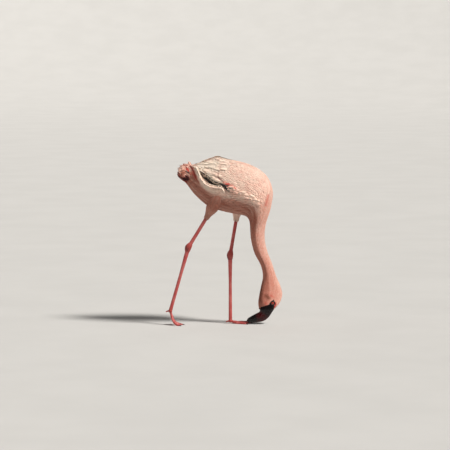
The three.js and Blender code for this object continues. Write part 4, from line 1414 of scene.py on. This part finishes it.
class FLAMINGO_OT_tail(bpy.types.Operator):
    """Fan the short tail feathers up and out and cover their roots with ruffled coverts"""

    bl_idname = "flamingo.tail"
    bl_label = "Tail"
    bl_options = {"REGISTER", "UNDO"}
    # fans of the true tail: drop under it, how much shorter, shares of its breadth and of rose
    fans = (
        (-0.013, 0.016, 0.60, 0.3),
        (-0.006, 0.006, 0.85, 0.1),
        (0.0, 0.0, 1.0, 0.2),
        (0.006, 0.003, 1.1, 0.4),
    )
    vent_curve = ((-0.118, 0.480), (-0.157, 0.490), (-0.154, 0.530))  # (x, z) of its ends and its bend
    strands = 13  # vanes in each lock
    # root and tip of each lock (x, distance from the middle plane, z), width of its vanes, shares of
    # rose and crimson
    locks = (
        ((-0.1090, 0.008, 0.5340), (-0.1207, 0.004, 0.5532), 0.0048, 0.1, 0.0),
        ((-0.1120, 0.014, 0.5300), (-0.1300, 0.008, 0.5445), 0.0050, 0.2, 0.1),
        ((-0.1130, 0.019, 0.5240), (-0.1352, 0.011, 0.5410), 0.0040, 0.8, 0.8),
        ((-0.1130, 0.023, 0.5210), (-0.1399, 0.013, 0.5444), 0.0045, 0.9, 0.3),
        ((-0.1109, 0.026, 0.5150), (-0.1430, 0.015, 0.5380), 0.0045, 0.8, 0.1),
        ((-0.1075, 0.028, 0.5098), (-0.1400, 0.018, 0.5300), 0.0036, 0.9, 1.0),
        ((-0.1050, 0.030, 0.5010), (-0.1518, 0.014, 0.5346), 0.0062, 0.0, 0.0),
        ((-0.1100, 0.030, 0.4970), (-0.1578, 0.011, 0.5285), 0.0050, 0.3, 0.0),
        ((-0.1170, 0.029, 0.4930), (-0.1570, 0.013, 0.5220), 0.0040, 0.5, 0.1),
        ((-0.1230, 0.027, 0.4910), (-0.1545, 0.014, 0.5159), 0.0036, 0.8, 0.8),
        ((-0.1260, 0.025, 0.4880), (-0.1606, 0.009, 0.5105), 0.0040, 0.5, 0.1),
        ((-0.1230, 0.021, 0.4840), (-0.1578, 0.010, 0.5047), 0.0042, 0.9, 0.9),
    )

    def execute(self, context):
        rosy = shared(tail_material, settings().plumage)
        tail = Vanes(61)
        self.rectrices(tail)
        self.vent(tail)
        for side in SIDES.values():
            self.coverts(tail, side)
            self.ruffle(tail, side)
        finished(tail.piece("tail_feathers"), rosy, ("tail",))
        return {"FINISHED"}

    def rectrices(self, tail):
        """The true tail and the coverts over it: fans of broad feathers from side to side."""
        rng, count = tail.rng, 14
        spread = np.linspace(-1.0, 1.0, count)
        for drop, less, breadth, rose in self.fans:
            side = breadth * spread
            root = stacked(-0.098, 0.015 * side, 0.512 - drop - 0.004 * side**2)
            tip = stacked(-0.157 + less + 0.013 * spread**2, 0.017 * side, 0.531 - drop - 0.010 * side**2)
            tip += rng.normal(0, 0.0022, tip.shape)
            out = unit(stacked(0.3, 0.5 * side, 1.0))[:, None]
            out = unit(out + rng.normal(0, 0.35, out.shape))
            spine = mix(root[:, None], tip[:, None], LONG_SHARE) + 0.003 * out * LONG_BOW
            shades = {"rose": np.resize((0.0, 0.3, 0.1), count)[:, None] + rose, "dark": 0.1, "under": 1.0}
            tail.place_vanes(spine, out, 0.009, LONG_VANE, (0.3 - 20 * drop, 0.4 * side), shades)

    def vent(self, tail):
        """Coverts that close the tail from below and behind, along a curve up to the true tail's tips."""
        rng, count = tail.rng, 14
        low, bend, high = (np.array((x, 0.0, z)) for x, z in self.vent_curve)
        spread = np.linspace(-1.0, 1.0, count)[:, None]
        for tip in np.linspace(0.4, 1.0, 6):
            at = tip - 0.45 * (1 - LONG_SHARE) + rng.normal(0, 0.03, (count, 1, 1))
            way = mix(bend - low, high - bend, at)
            out = unit(stacked(-way[..., 2], 0.0, way[..., 0]))
            spine = mix(mix(low, bend, at), mix(bend, high, at), at) - 0.003 * (1 - LONG_SHARE) * out
            spine[..., 0] += 0.007 * spread**2
            spine[..., 1] = 0.023 * spread * (0.82 + 0.26 * at[..., 0])
            out[..., 1] += 0.5 * spread
            shades = {"rose": rng.uniform(0.2, 0.9, count)[:, None], "dark": 0.1, "under": 1.0}
            out = unit(out + rng.normal(0, 0.15, (count, 1, 3)))
            roots = 0.3 - tip, math.pi + 0.8 * spread[:, 0]
            tail.place_vanes(spine, out, 0.0075, LONG_VANE, roots, shades)

    def ruffle(self, tail, side):
        """Strands that fan up and back from the rump and gather into pointed locks."""
        rng, last = tail.rng, len(self.locks) - 1
        count = self.strands * len(self.locks)
        starts, ends, width, rose, dark = (np.array(column) for column in zip(*self.locks))
        at = np.clip(np.linspace(-0.4, last + 0.4, count) + rng.normal(0, 0.06, count), 0, last)
        lock = np.round(at).astype(int)
        starts, ends = (
            through(ways, at) * (1, side, 1) + rng.normal(0, 0.0009, (count, 3)) for ways in (starts, ends)
        )
        width, rose, dark = width[lock], rose[lock], dark[lock]
        short = 0.44 * np.abs(at - lock) + rng.uniform(0.0, 0.10, count) + 0.10 * (rng.random(count) < 0.2)
        ends += short[:, None] * (starts - ends)
        out = np.array((-0.25, side, 0.30))
        raised = (rng.uniform(0.0020, 0.0055, count) - 0.0030 * dark)[:, None, None]
        spine = mix(starts[:, None], ends[:, None], LONG_SHARE) + unit(out) * raised * LONG_BOW
        roots = mix(0.2, -0.6, (starts[:, 0] + 0.0987) / -0.031), side * (2.2 - 40 * (starts[:, 2] - 0.482))
        shades = {"rose": np.clip(rose + rng.normal(0, 0.12, count), 0, 1)[:, None], "dark": dark[:, None]}
        out = unit(out + rng.normal(0, 0.12, (count, 3)))[:, None]
        tail.place_vanes(spine, out, width * rng.uniform(0.8, 1.2, count), LONG_VANE, roots, shades, cup=0.10)

    @staticmethod
    def coverts(tail, side):
        """Dark rosy feathers under the locks, which run up and back from the rump."""
        rump = lambda place, angle: (place > -1.3) & (place < 0.55) & ~in_wing(place, angle)
        keep = lambda place, angle: rump(place, angle) & (angle * side > 0)
        place, angle = scatter(Body, lambda u, v: 0.0034 + 0 * u, keep, 62)
        rng, count = tail.rng, len(place)
        pale = rng.random(count) < 0.12
        slant = side * np.clip(np.sin(np.abs(angle)) * 1.2, 0, 1)
        tail.add(
            Body, place, angle,
            length=rng.uniform(0.016, 0.024, count), width=rng.uniform(0.0040, 0.0056, count),
            rise=rng.uniform(-0.0040, -0.0020, count), curl=rng.uniform(-0.0006, 0.0006, count),
            yaw=slant * rng.normal(-0.50, 0.10, count), profile=LONG_VANE,
            tints={
                "rose": np.where(pale, 0.1, rng.uniform(0.6, 1.0, count))[:, None],
                "dark": (np.where(pale, 0.0, rng.uniform(0.2, 0.8, count)) * fade(0.7, 0.1, place))[:, None],
            },
        )


# --- head


def cheek_spot():
    """How far the skin at the eye is from the middle plane, and the way out of it."""
    place, angle = np.meshgrid(np.linspace(13.0, FACE, 200), np.linspace(0.2, 2.9, 200), indexing="ij")
    away = eye_distance(place, angle)
    spot = np.unravel_index(np.argmin(away), away.shape)
    place, angle = place[spot], angle[spot]
    return Body.point(place, angle, 0.0)[1], directions(Body, place, angle)[2]


def eye_axes(side):
    """The eye's middle and three unit vectors: outwards, towards the bill and across."""
    level, out = cheek_spot()
    middle = np.array((EYE["place"][0], side * (level - EYE["sunk"]), EYE["place"][1]))
    axis = unit(np.array((out[0] * 0.5, side * out[1], out[2] * 0.5)))
    fore = np.array((BILL["start"][0] - EYE["place"][0], 0.0, BILL["start"][1] - EYE["place"][1]))
    fore = unit(fore - (fore @ axis) * axis)
    return middle, axis, fore, np.cross(axis, fore)


class FLAMINGO_OT_eyes(bpy.types.Operator):
    """Set the eyes with their lids"""

    bl_idname = "flamingo.eyes"
    bl_label = "Eyes"
    bl_options = {"REGISTER", "UNDO"}
    lid_depth = 0.0006
    # the lids' profile: angle beyond the opening, and height over the globe
    lid = (
        (0.0, -0.0006), (0.02, 0.0004), (0.10, 0.0009), (0.20, 0.0008), (0.27, 0.0003),
        (0.34, 0.0010), (0.46, 0.0012), (0.60, 0.0006), (0.80, -0.0008), (0.95, -0.0030),
    )

    def execute(self, context):
        wet, bare = (shared(make, settings().bare) for make in (eye_material, lid_material))
        for name, side in SIDES.items():
            finished(self.globe("eye_globe_" + name, side), wet, ("eye_" + name,))
            finished(self.lids("eyelids_" + name, side), bare)
        return {"FINISHED"}

    @staticmethod
    def globe(name, side):
        """An eyeball with a low dome over the iris. gaze is the angle from its axis in degrees."""
        middle, axis, fore, across = eye_axes(side)
        gaze = np.linspace(0.4, 100.0, 56)
        ring = circle(turns(64), fore, across)
        radius = EYE["radius"] * (1 + 0.05 * (1 - fade(20.0, 48.0, gaze)))[:, None, None]
        points, faces = loft(middle + radius * circle(np.radians(gaze)[:, None], axis, ring))
        return make_mesh(name, points, faces, {"gaze": np.append(np.repeat(gaze, len(ring)), (0.0, 110.0))})

    def lids(self, name, side):
        """A puffy ring with an almond opening: it leaves the globe, folds and meets the cheek."""
        middle, axis, fore, across = eye_axes(side)
        turn = turns(96)
        ring = circle(turn, fore, across)
        opening = np.radians(47.0 + 5.5 * np.cos(2 * turn))
        rings = []
        for more, height in self.lid:
            wrinkle = 0.00012 * np.sin(turn * 17 + 40 * more)[:, None] * (0.1 < more < 0.9)
            rings.append(middle + (EYE["radius"] + height + wrinkle) * circle(opening + more, axis, ring))
        outer = np.array(rings)
        tube = np.concatenate((outer, outer[::-1] - axis * self.lid_depth))
        around = np.arange(len(turn))
        following, last = np.roll(around, -1), (len(tube) - 1) * len(turn)
        closing = stacked(around + last, following + last, following, around)
        faces = np.concatenate((grid_faces(len(tube), len(turn)), closing))
        piece = make_mesh(name, tube.reshape(-1, 3), [faces])
        subdivide = piece.modifiers.new("round", "SUBSURF")
        subdivide.levels = subdivide.render_levels = 1
        return piece


def gape_line(shares):
    """Points of the gape line and unit vectors towards the upper mandible's ridge."""
    steps = 400
    along = (np.arange(steps) + 0.5) * BILL_LENGTH / steps
    bent = np.clip((along - BILL["straight"]) / BILL["bend"], 0, 1)
    heading = np.radians(BILL["heading"] - BILL["turn"] * bent)
    moves = stacked(np.cos(heading), np.sin(heading)) * BILL_LENGTH / steps
    line = np.concatenate((np.zeros((1, 2)), np.cumsum(moves, axis=0))) + np.array(BILL["start"])
    where = np.asarray(shares) * steps
    points = stacked(*(np.interp(where, np.arange(steps + 1), column) for column in line.T))
    turned = np.interp(where, np.arange(steps) + 0.5, heading)
    return points, stacked(-np.sin(turned), np.cos(turned))


def bill_size(share, column):
    """A depth or a half width of a mandible along the gape line."""
    return reading(BILL_TABLE[0], BILL_TABLE[column], share)


class FLAMINGO_OT_bill(bpy.types.Operator):
    """Make both mandibles of the bent bill, with filter teeth along the gape"""

    bl_idname = "flamingo.bill"
    bl_label = "Bill"
    bl_options = {"REGISTER", "UNDO"}
    rows, columns = 300, 48
    nail = 0.95  # share of the gape line where the tip begins to round off
    tooth = 0.0011  # from one tooth to the next
    plate = (0.00022, 0.0009, 0.0016)  # half a tooth's thickness, half its height and its depth
    corners = ((-1, -1, 0), (1, -1, 0), (1, 1, 0), (-1, 1, 0), (-1, -1, 1), (1, -1, 1), (1, 1, 1), (-1, 1, 1))
    box = ((0, 3, 2, 1), (4, 5, 6, 7), (0, 1, 5, 4), (1, 2, 6, 5), (2, 3, 7, 6), (3, 0, 4, 7))

    def execute(self, context):
        horn = shared(bill_material, settings().bare)
        finished(self.mandible("upper_mandible", 1, 1, 3), horn, ("bill_upper",))
        finished(self.mandible("lower_mandible", -1, 2, 4), horn, ("bill_lower",))
        finished(self.teeth("filter_teeth"), horn)
        return {"FINISHED"}

    def mandible(self, name, away, depth_column, half_column):
        """A half of the bill, on the gape line's one side, 1, or on its other side, -1."""
        share = np.linspace(0.0, 1.0, self.rows)
        turn = np.linspace(0.0, math.pi, self.columns)
        middle, ridge = gape_line(share)
        rounded = np.sqrt(1 - 0.99 * np.clip((share - self.nail) / (1 - self.nail), 0, 1) ** 2)
        depth, half = ((bill_size(share, k) * rounded)[:, None] for k in (depth_column, half_column))
        share = share[:, None]
        out = away * (np.sin(turn) ** 0.8 * depth * self.carving(away, share, turn) + GAPE)
        width = half * np.sign(np.cos(turn)) * np.abs(np.cos(turn)) ** 0.75 * self.lip(share, turn)
        spots = middle[:, None] + out[..., None] * ridge[:, None]
        rings = stacked(spots[..., 0], width, np.maximum(spots[..., 1], 0.0))
        points, faces = loft(rings if away > 0 else rings[:, ::-1])
        along = np.append(np.repeat(share, self.columns), (0.0, 1.0))
        return make_mesh(name, points, faces, {"along": along})

    @staticmethod
    def carving(away, share, turn):
        """Grooves: one beside the ridge of the upper mandible with the nostril in it, and a shallow
        one along the jaw of the lower mandible."""
        side = np.minimum(turn, math.pi - turn)
        line = 0.80 if away > 0 else 0.62
        groove = hump(side - line, 0.16) * (1 - fade(0.45, 0.75, share))
        nostril = hump(side - line, 0.09) * fade(0.14, 0.17, share) * (1 - fade(0.25, 0.28, share))
        return 1 - 0.07 * groove - (0.22 * nostril if away > 0 else 0.0)

    @staticmethod
    def lip(share, turn):
        """The edge of the gape swells a little, and is finely toothed."""
        side = np.minimum(turn, math.pi - turn)
        return 1 + hump(side, 0.16) * (0.03 + 0.012 * np.sin(share * 101 * 2 * math.pi))

    def teeth(self, name):
        """Small plates in the gape, which strain the water."""
        thick, high, deep = self.plate
        share = np.arange(0.16, 0.93, self.tooth / BILL_LENGTH)
        middle, ridge = gape_line(share)
        parts = []
        for spot, up, half in zip(middle, ridge, bill_size(share, 3) * 0.985):
            along = np.array((up[1], -up[0]))
            for side in (1, -1):
                corners = []
                for a, b, c in self.corners:
                    flat = spot + along * a * thick + up * b * high
                    corners.append((flat[0], side * (half - deep * (1 - c)), flat[1]))
                parts.append((np.array(corners), [np.array(self.box)[:, ::side]]))
        points, faces = joined(parts)
        return make_mesh(name, points, faces, {"along": np.repeat(share, 2 * len(self.corners))})


# --- legs and feet


def limb_rings(stops, radii, ways, sides, flatness=LIMB_FLATNESS):
    """Rings round points, at right angles to ways. The first point of a ring lies behind."""
    side, fore = beside(ways)
    reach = radii if np.ndim(radii) == 2 else radii[:, None]
    return stops[:, None] + reach[..., None] * circle(turns(sides), fore[:, None], flatness * side[:, None])


def toe_curve(leg):
    """Length walked and (x, z) along the foot's path."""
    spots = through(leg["toe_path"], np.linspace(0, len(leg["toe_path"]) - 1, 400))
    walked = np.concatenate(((0.0,), np.cumsum(np.linalg.norm(np.diff(spots, axis=0), axis=1))))
    return walked, spots


def foot_point(leg, gone, turn):
    """A point of the foot: a length walked from the knuckle along a toe that points at an angle."""
    walked, spots = toe_curve(leg)
    gone = np.asarray(gone, float)
    x = np.interp(gone, walked, spots[:, 0]) + np.maximum(0.0, gone - walked[-1])
    z = np.interp(gone, walked, spots[:, 1])
    turn = turn * leg["side"]
    knuckle = leg["knuckle"]
    return stacked(knuckle[0] + x * np.cos(turn), knuckle[1] + gone * np.sin(turn), z)


def toe_radius(share):
    """From the first radius to the second, and quickly to the third at the toe's end."""
    return mix(mix(TOE_RADII[0], TOE_RADII[1], share), TOE_RADII[2], share**3)


def foot_columns():
    """The columns of the webbed foot: angle, offset from the toe, reach and height of the toe there."""
    columns = []
    for n, (_, angle, length) in enumerate(TOES):
        for offset in np.linspace(-1, 1, 11):
            columns.append((angle, offset, length, math.sqrt(1 - offset**2)))
        if n + 1 < len(TOES):
            _, next_angle, next_length = TOES[n + 1]
            for share in np.linspace(0.1, 0.9, 9):
                hollow = mix(WEB["edge"], WEB["hollow"], math.sin(math.pi * share))
                reach = mix(length, next_length, share) * hollow
                columns.append((mix(angle, next_angle, share), mix(1, -1, share), reach, 0.0))
    return np.array(columns).T


def foot_sheet(leg):
    """Toes and webs as one closed sheet."""
    rows = 90
    angle, offset, reach, toe = foot_columns()
    turn = np.radians(angle)[None]
    share = np.linspace(0, 1, rows)[:, None] ** 0.9
    gone = mix(WEB["from"], reach[None], share)
    radius = toe_radius(gone / reach)
    at = foot_point(leg, gone, turn)
    ahead = unit(foot_point(leg, gone + 0.0005, turn) - at)
    lean = turn * leg["side"]
    aside = np.broadcast_to(stacked(-np.sin(lean), np.cos(lean), 0.0), at.shape)
    over = np.cross(ahead, aside)
    room = 0.42 * gone * math.sin(math.radians(TOES[2][1]))
    at = at + aside * (leg["side"] * offset * np.minimum(1.1 * radius, room))[..., None]
    drop = np.where(toe > 0, 0.0, WEB["drop"])[None]
    knuckled = 1 + 0.10 * toe * np.cos(gone * 2 * math.pi / TOE_JOINT) * fade(0.008, 0.016, gone)
    rounded = np.sqrt(np.clip(1 - fade(0.9, 1.06, share) ** 2, 0.12, 1))
    half = np.maximum(WEB["thick"] / 2, toe * radius * knuckled * rounded)
    upper = at + over * (half - drop)[..., None]
    lower = at - over * (half + drop)[..., None]
    lower[..., 2] = np.maximum(lower[..., 2], 0.0)
    points = np.concatenate((upper.reshape(-1, 3), lower.reshape(-1, 3)))
    columns, under = len(angle), rows * len(angle)
    top = grid_faces(rows, columns, wrapped=False)
    rim = np.concatenate((
        np.arange(columns), np.arange(1, rows) * columns + columns - 1,
        (rows - 1) * columns + np.arange(columns - 2, -1, -1), np.arange(rows - 2, 0, -1) * columns,
    ))
    following = np.roll(rim, -1)
    edge = stacked(following, rim, rim + under, following + under)
    return points, [np.concatenate((top, top[:, ::-1] + under, edge))]


def ball(middle, radius):
    """Points and faces of a ball."""
    lift, turn = np.linspace(0.02, math.pi - 0.02, 18)[:, None], turns(28)
    rings = stacked(np.sin(lift) * np.cos(turn), np.sin(lift) * np.sin(turn), np.cos(lift))
    return loft(middle + rings * radius)


class FLAMINGO_OT_legs(bpy.types.Operator):
    """Make the scaled shanks and tarsi, the webbed feet and the claws"""

    bl_idname = "flamingo.legs"
    bl_label = "Legs"
    bl_options = {"REGISTER", "UNDO"}
    sides, step = 40, 0.00055  # points in a ring, and from ring to ring
    scute, toe_scute = 0.0046, 0.0030  # from one scute to the next, down the leg and along a toe
    crease = 0.0032  # from one crease of the hock to the next
    relief = 0.00022  # how far the scutes stand out
    voxel = 0.00075

    def execute(self, context):
        skin, horn = (shared(make, settings().bare) for make in (leg_material, claw_material))
        for name, leg in LEGS.items():
            shin = self.bone_skin("leg_" + name, leg)
            finished(shin, skin, ("shank_" + name, "tarsus_" + name))
            finished(self.foot("webbed_foot_" + name, leg), skin, ("foot_" + name,))
            for toe, angle, length in TOES:
                claw = self.claw(f"toe_claw_{toe}_{name}", leg, math.radians(angle), length)
                finished(claw, horn, (f"claw_{toe}_{name}",))
        return {"FINISHED"}

    def bone_skin(self, name, leg):
        """From inside the thigh's cuff over the hock to the knuckle, with scutes down the front."""
        cuff, hock, knuckle = (np.array(leg[key]) for key in ("cuff", "hock", "knuckle"))
        lengths = np.linalg.norm(hock - cuff), np.linalg.norm(knuckle - hock)
        gone = np.arange(-0.012, sum(lengths) - 0.004, self.step)
        past = gone - lengths[0]
        ways = (hock - cuff) / lengths[0], (knuckle - hock) / lengths[1]
        stops = np.where(past[:, None] < 0, cuff + gone[:, None] * ways[0], hock + past[:, None] * ways[1])
        turning = fade(-0.010, 0.010, past)[:, None]
        way = unit(mix(ways[0], ways[1], turning))
        upper = three_way(SHANK, np.clip(gone / lengths[0], 0, 1), 0.5)
        lower = three_way(TARSUS, np.clip(past / lengths[1], 0, 1), 0.4)
        knob = np.clip(1 - (past / HOCK_REACH) ** 2, 0, 1) ** 1.2
        radius = mix(np.where(past < 0, upper, lower), HOCK_RADIUS, knob)
        radius = mix(radius, KNUCKLE_RADIUS, fade(-0.014, -0.002, gone - sum(lengths)))
        turn = turns(self.sides)
        front = np.exp(-(((turn - math.pi) / 0.95) ** 4))
        phase = (gone / self.scute)[:, None] + 0.06 * np.cos(turn)
        groove = hump(phase % 1.0 - 0.5, 0.10)
        scaled = front * (fade(0.006, 0.016, past) + fade(0.006, 0.016, -past))[:, None]
        creases = hump(past[:, None] % self.crease - self.crease / 2, 0.0005) * knob[:, None] ** 0.5
        behind = np.cos(turn) * knob[:, None]
        shape = radius[:, None] * (1 + 0.06 * behind) - 0.00030 * groove * scaled - 0.00028 * creases
        shape += self.relief * np.abs(np.sin(phase * math.pi)) * scaled
        points, faces = loft(limb_rings(stops, shape, way, self.sides))
        joint = np.maximum(0.75 * knob, 0.7 * fade(-0.020, -0.004, gone - sum(lengths)))
        joint = np.maximum(joint, 0.55 * (1 - fade(0.0, 0.02, gone)))
        # groove carries painted shade into the grooves between the scutes and the hock's creases.
        layers = {
            "joint": np.append(np.repeat(joint, self.sides), joint[[0, -1]]),
            "groove": np.append(np.maximum(groove * scaled, 0.8 * creases), (0, 0)),
        }
        return make_mesh(name, points, faces, layers)

    def foot(self, name, leg):
        """Knuckle, toes, webs and hind toe fused into one skin, with scutes over the toes."""
        knuckle = np.array(leg["knuckle"])
        down = unit(knuckle - np.array(leg["hock"]))
        share = np.linspace(0, 1, 24)
        stem = knuckle + np.linspace(-0.010, 0.0, len(share))[:, None] * down
        radii = np.linspace(0.0056, KNUCKLE_RADIUS, len(share))
        hind = knuckle + np.array(HIND_TOE["root"]) * (1, leg["side"], 1)
        back = np.array(HIND_TOE["way"])
        hind_radii = mix(*HIND_TOE["radii"], share) * np.sqrt(1 - 0.8 * share**8)
        parts = (
            loft(limb_rings(stem, radii, down[None], 28)),
            ball(knuckle, 0.0068),
            foot_sheet(leg),
            loft(limb_rings(hind + share[:, None] * back, hind_radii, unit(back)[None], 20, 1.0)),
        )
        foot = remeshed(make_mesh(name, *joined(parts)), self.voxel, 3)
        points, normals = points_of(foot), points_of(foot, "normal")
        points[:, 2] = np.maximum(points[:, 2], 0.0)
        walked, toe = self.on_toes(leg, points)
        scaled = toe * np.clip(normals[:, 2] * 1.3 + 0.3 * normals[:, 0], 0, 1)
        wave = walked / self.toe_scute % 1.0
        groove = hump(wave - 0.5, 0.13) * scaled
        points += self.relief * normals * (np.abs(np.sin(wave * math.pi)) * scaled - groove)[:, None]
        points[:, 2] = np.maximum(points[:, 2], 0.0)
        foot.data.vertices.foreach_set("co", points.astype(np.float32).ravel())
        joints = 0.75 * toe * np.clip(np.cos(walked * 2 * math.pi / TOE_JOINT), 0, 1) ** 2
        joints = np.maximum(joints, 0.8 * (1 - fade(0.004, 0.014, walked)))
        # groove carries painted shade into the grooves between the toes' scutes.
        add_layers(foot.data, {"joint": joints, "groove": 0.8 * groove})
        foot.data.update()
        return foot

    @staticmethod
    def on_toes(leg, points):
        """Length walked to each point of a foot, and how near it is to the line of a toe."""
        gone = np.linspace(0.0, 0.074, 160)
        walked, near = np.zeros(len(points)), np.ones(len(points))
        for _, angle, length in TOES:
            line = foot_point(leg, gone[gone < length + 0.002], math.radians(angle))
            spot, away = nearest(line, points)
            closer = away < near
            walked[closer], near[closer] = gone[spot[closer]], away[closer]
        return walked, 1 - fade(0.0042, 0.0058, near)

    @staticmethod
    def claw(name, leg, turn, length):
        """A short curved claw past the end of a toe."""
        share = np.linspace(0, 1, 26)
        gone = mix(length - 0.002, length + CLAW["length"], share)
        stops = foot_point(leg, gone, turn)
        ways = unit(foot_point(leg, gone + 0.0005, turn) - stops)
        radii = mix(CLAW["root"], CLAW["tip"], share**1.5) * np.sqrt(1 - 0.7 * share**10)
        stops[:, 2] = mix(stops[:, 2] + 0.0006 * np.sin(share * math.pi), CLAW["tip"], share)
        side = unit(stacked(-ways[:, 1], ways[:, 0], 0.0))
        ring = circle(turns(24), side[:, None], np.cross(ways, side)[:, None])
        rings = stops[:, None] + radii[:, None, None] * ring
        rings[..., 2] = np.maximum(rings[..., 2], 0.0)
        return make_mesh(name, *loft(rings))


# --- stage


class FLAMINGO_OT_stage(bpy.types.Operator):
    """Lay the floor, which rises to a wall far away, hang the lights and set up the camera"""

    bl_idname = "flamingo.stage"
    bl_label = "Stage"
    bl_options = {"REGISTER", "UNDO"}
    near = np.array((0.001, 1.0, 4.0, 10.0))  # radii of the floor's inner rings
    flat, sweep, top = 18.0, 12.0, 22.0  # radius of the flat floor, of its sweep, and the wall's height
    sun_back, sun_spread, sun_tone = (0.57, -0.28, 0.77), math.radians(13.0), (1.0, 0.955, 0.90)
    sky_tone = (0.97, 0.98, 1.0, 1.0)

    def execute(self, context):
        stage = settings().stage
        rise, turn = np.linspace(0, math.pi / 2, 16), turns(96)
        wall = self.flat + self.sweep
        reach = np.concatenate((self.near, self.flat + self.sweep * np.sin(rise), (wall,)))[:, None]
        height = np.concatenate((0 * self.near, self.sweep * (1 - np.cos(rise)), (self.top,)))[:, None]
        rings = stacked(reach * np.cos(turn), reach * np.sin(turn), height)
        floor = make_mesh("studio_floor", rings.reshape(-1, 3), [grid_faces(len(reach), len(turn))])
        floor.data.materials.append(floor_material(stage))
        world = bpy.data.worlds.new("studio")
        world.use_nodes = True
        background = world.node_tree.nodes["Background"]
        background.inputs["Color"].default_value = self.sky_tone
        background.inputs["Strength"].default_value = stage.sky
        context.scene.world = world
        context.scene.view_settings.view_transform = "Standard"
        sun = bpy.data.lights.new("key", "SUN")
        sun.angle, sun.energy, sun.color = self.sun_spread, stage.key, self.sun_tone
        self.hung("key", sun, Vector(self.sun_back))
        lens = bpy.data.cameras.new("camera")
        lens.sensor_width, lens.clip_end = 36.0, 200.0
        lens.lens = lens.sensor_width * stage.distance / stage.width
        back = Vector((0.0, -math.cos(stage.elevation), math.sin(stage.elevation)))
        camera = self.hung("camera", lens, back)
        camera.location = Vector((stage.aim_x, 0.0, stage.aim_z)) + back * stage.distance
        context.scene.camera = camera
        return {"FINISHED"}

    @staticmethod
    def hung(name, data, back):
        """A lamp or a camera whose back points a given way."""
        thing = bpy.data.objects.new(name, data)
        thing.rotation_euler = back.to_track_quat("Z", "Y").to_euler()
        bpy.context.scene.collection.objects.link(thing)
        return thing


OPERATORS = (
    FLAMINGO_OT_stage,
    FLAMINGO_OT_skin,
    FLAMINGO_OT_plumage,
    FLAMINGO_OT_wings,
    FLAMINGO_OT_tail,
    FLAMINGO_OT_eyes,
    FLAMINGO_OT_bill,
    FLAMINGO_OT_legs,
)


class FLAMINGO_PT_panel(bpy.types.Panel):
    """The flamingo's pieces and settings"""

    bl_label = "Lesser flamingo"
    bl_space_type = "VIEW_3D"
    bl_region_type = "UI"
    bl_category = "Flamingo"

    def draw(self, context):
        for operator in OPERATORS:
            self.layout.operator(operator.bl_idname)
        for group in (settings().plumage, settings().bare, settings().stage):
            column = self.layout.column(heading=group.__doc__)
            for name in group.__annotations__:
                column.prop(group, name)


CLASSES = (PlumageSettings, BareSettings, StageSettings, FlamingoSettings, *OPERATORS, FLAMINGO_PT_panel)


def register():
    for entry in CLASSES:
        bpy.utils.register_class(entry)
    bpy.types.Scene.flamingo = PointerProperty(type=FlamingoSettings)


def unregister():
    del bpy.types.Scene.flamingo
    for entry in reversed(CLASSES):
        bpy.utils.unregister_class(entry)


def main():
    register()
    for operator in OPERATORS:
        getattr(bpy.ops.flamingo, operator.bl_idname.split(".")[1])()


if __name__ == "__main__":
    main()
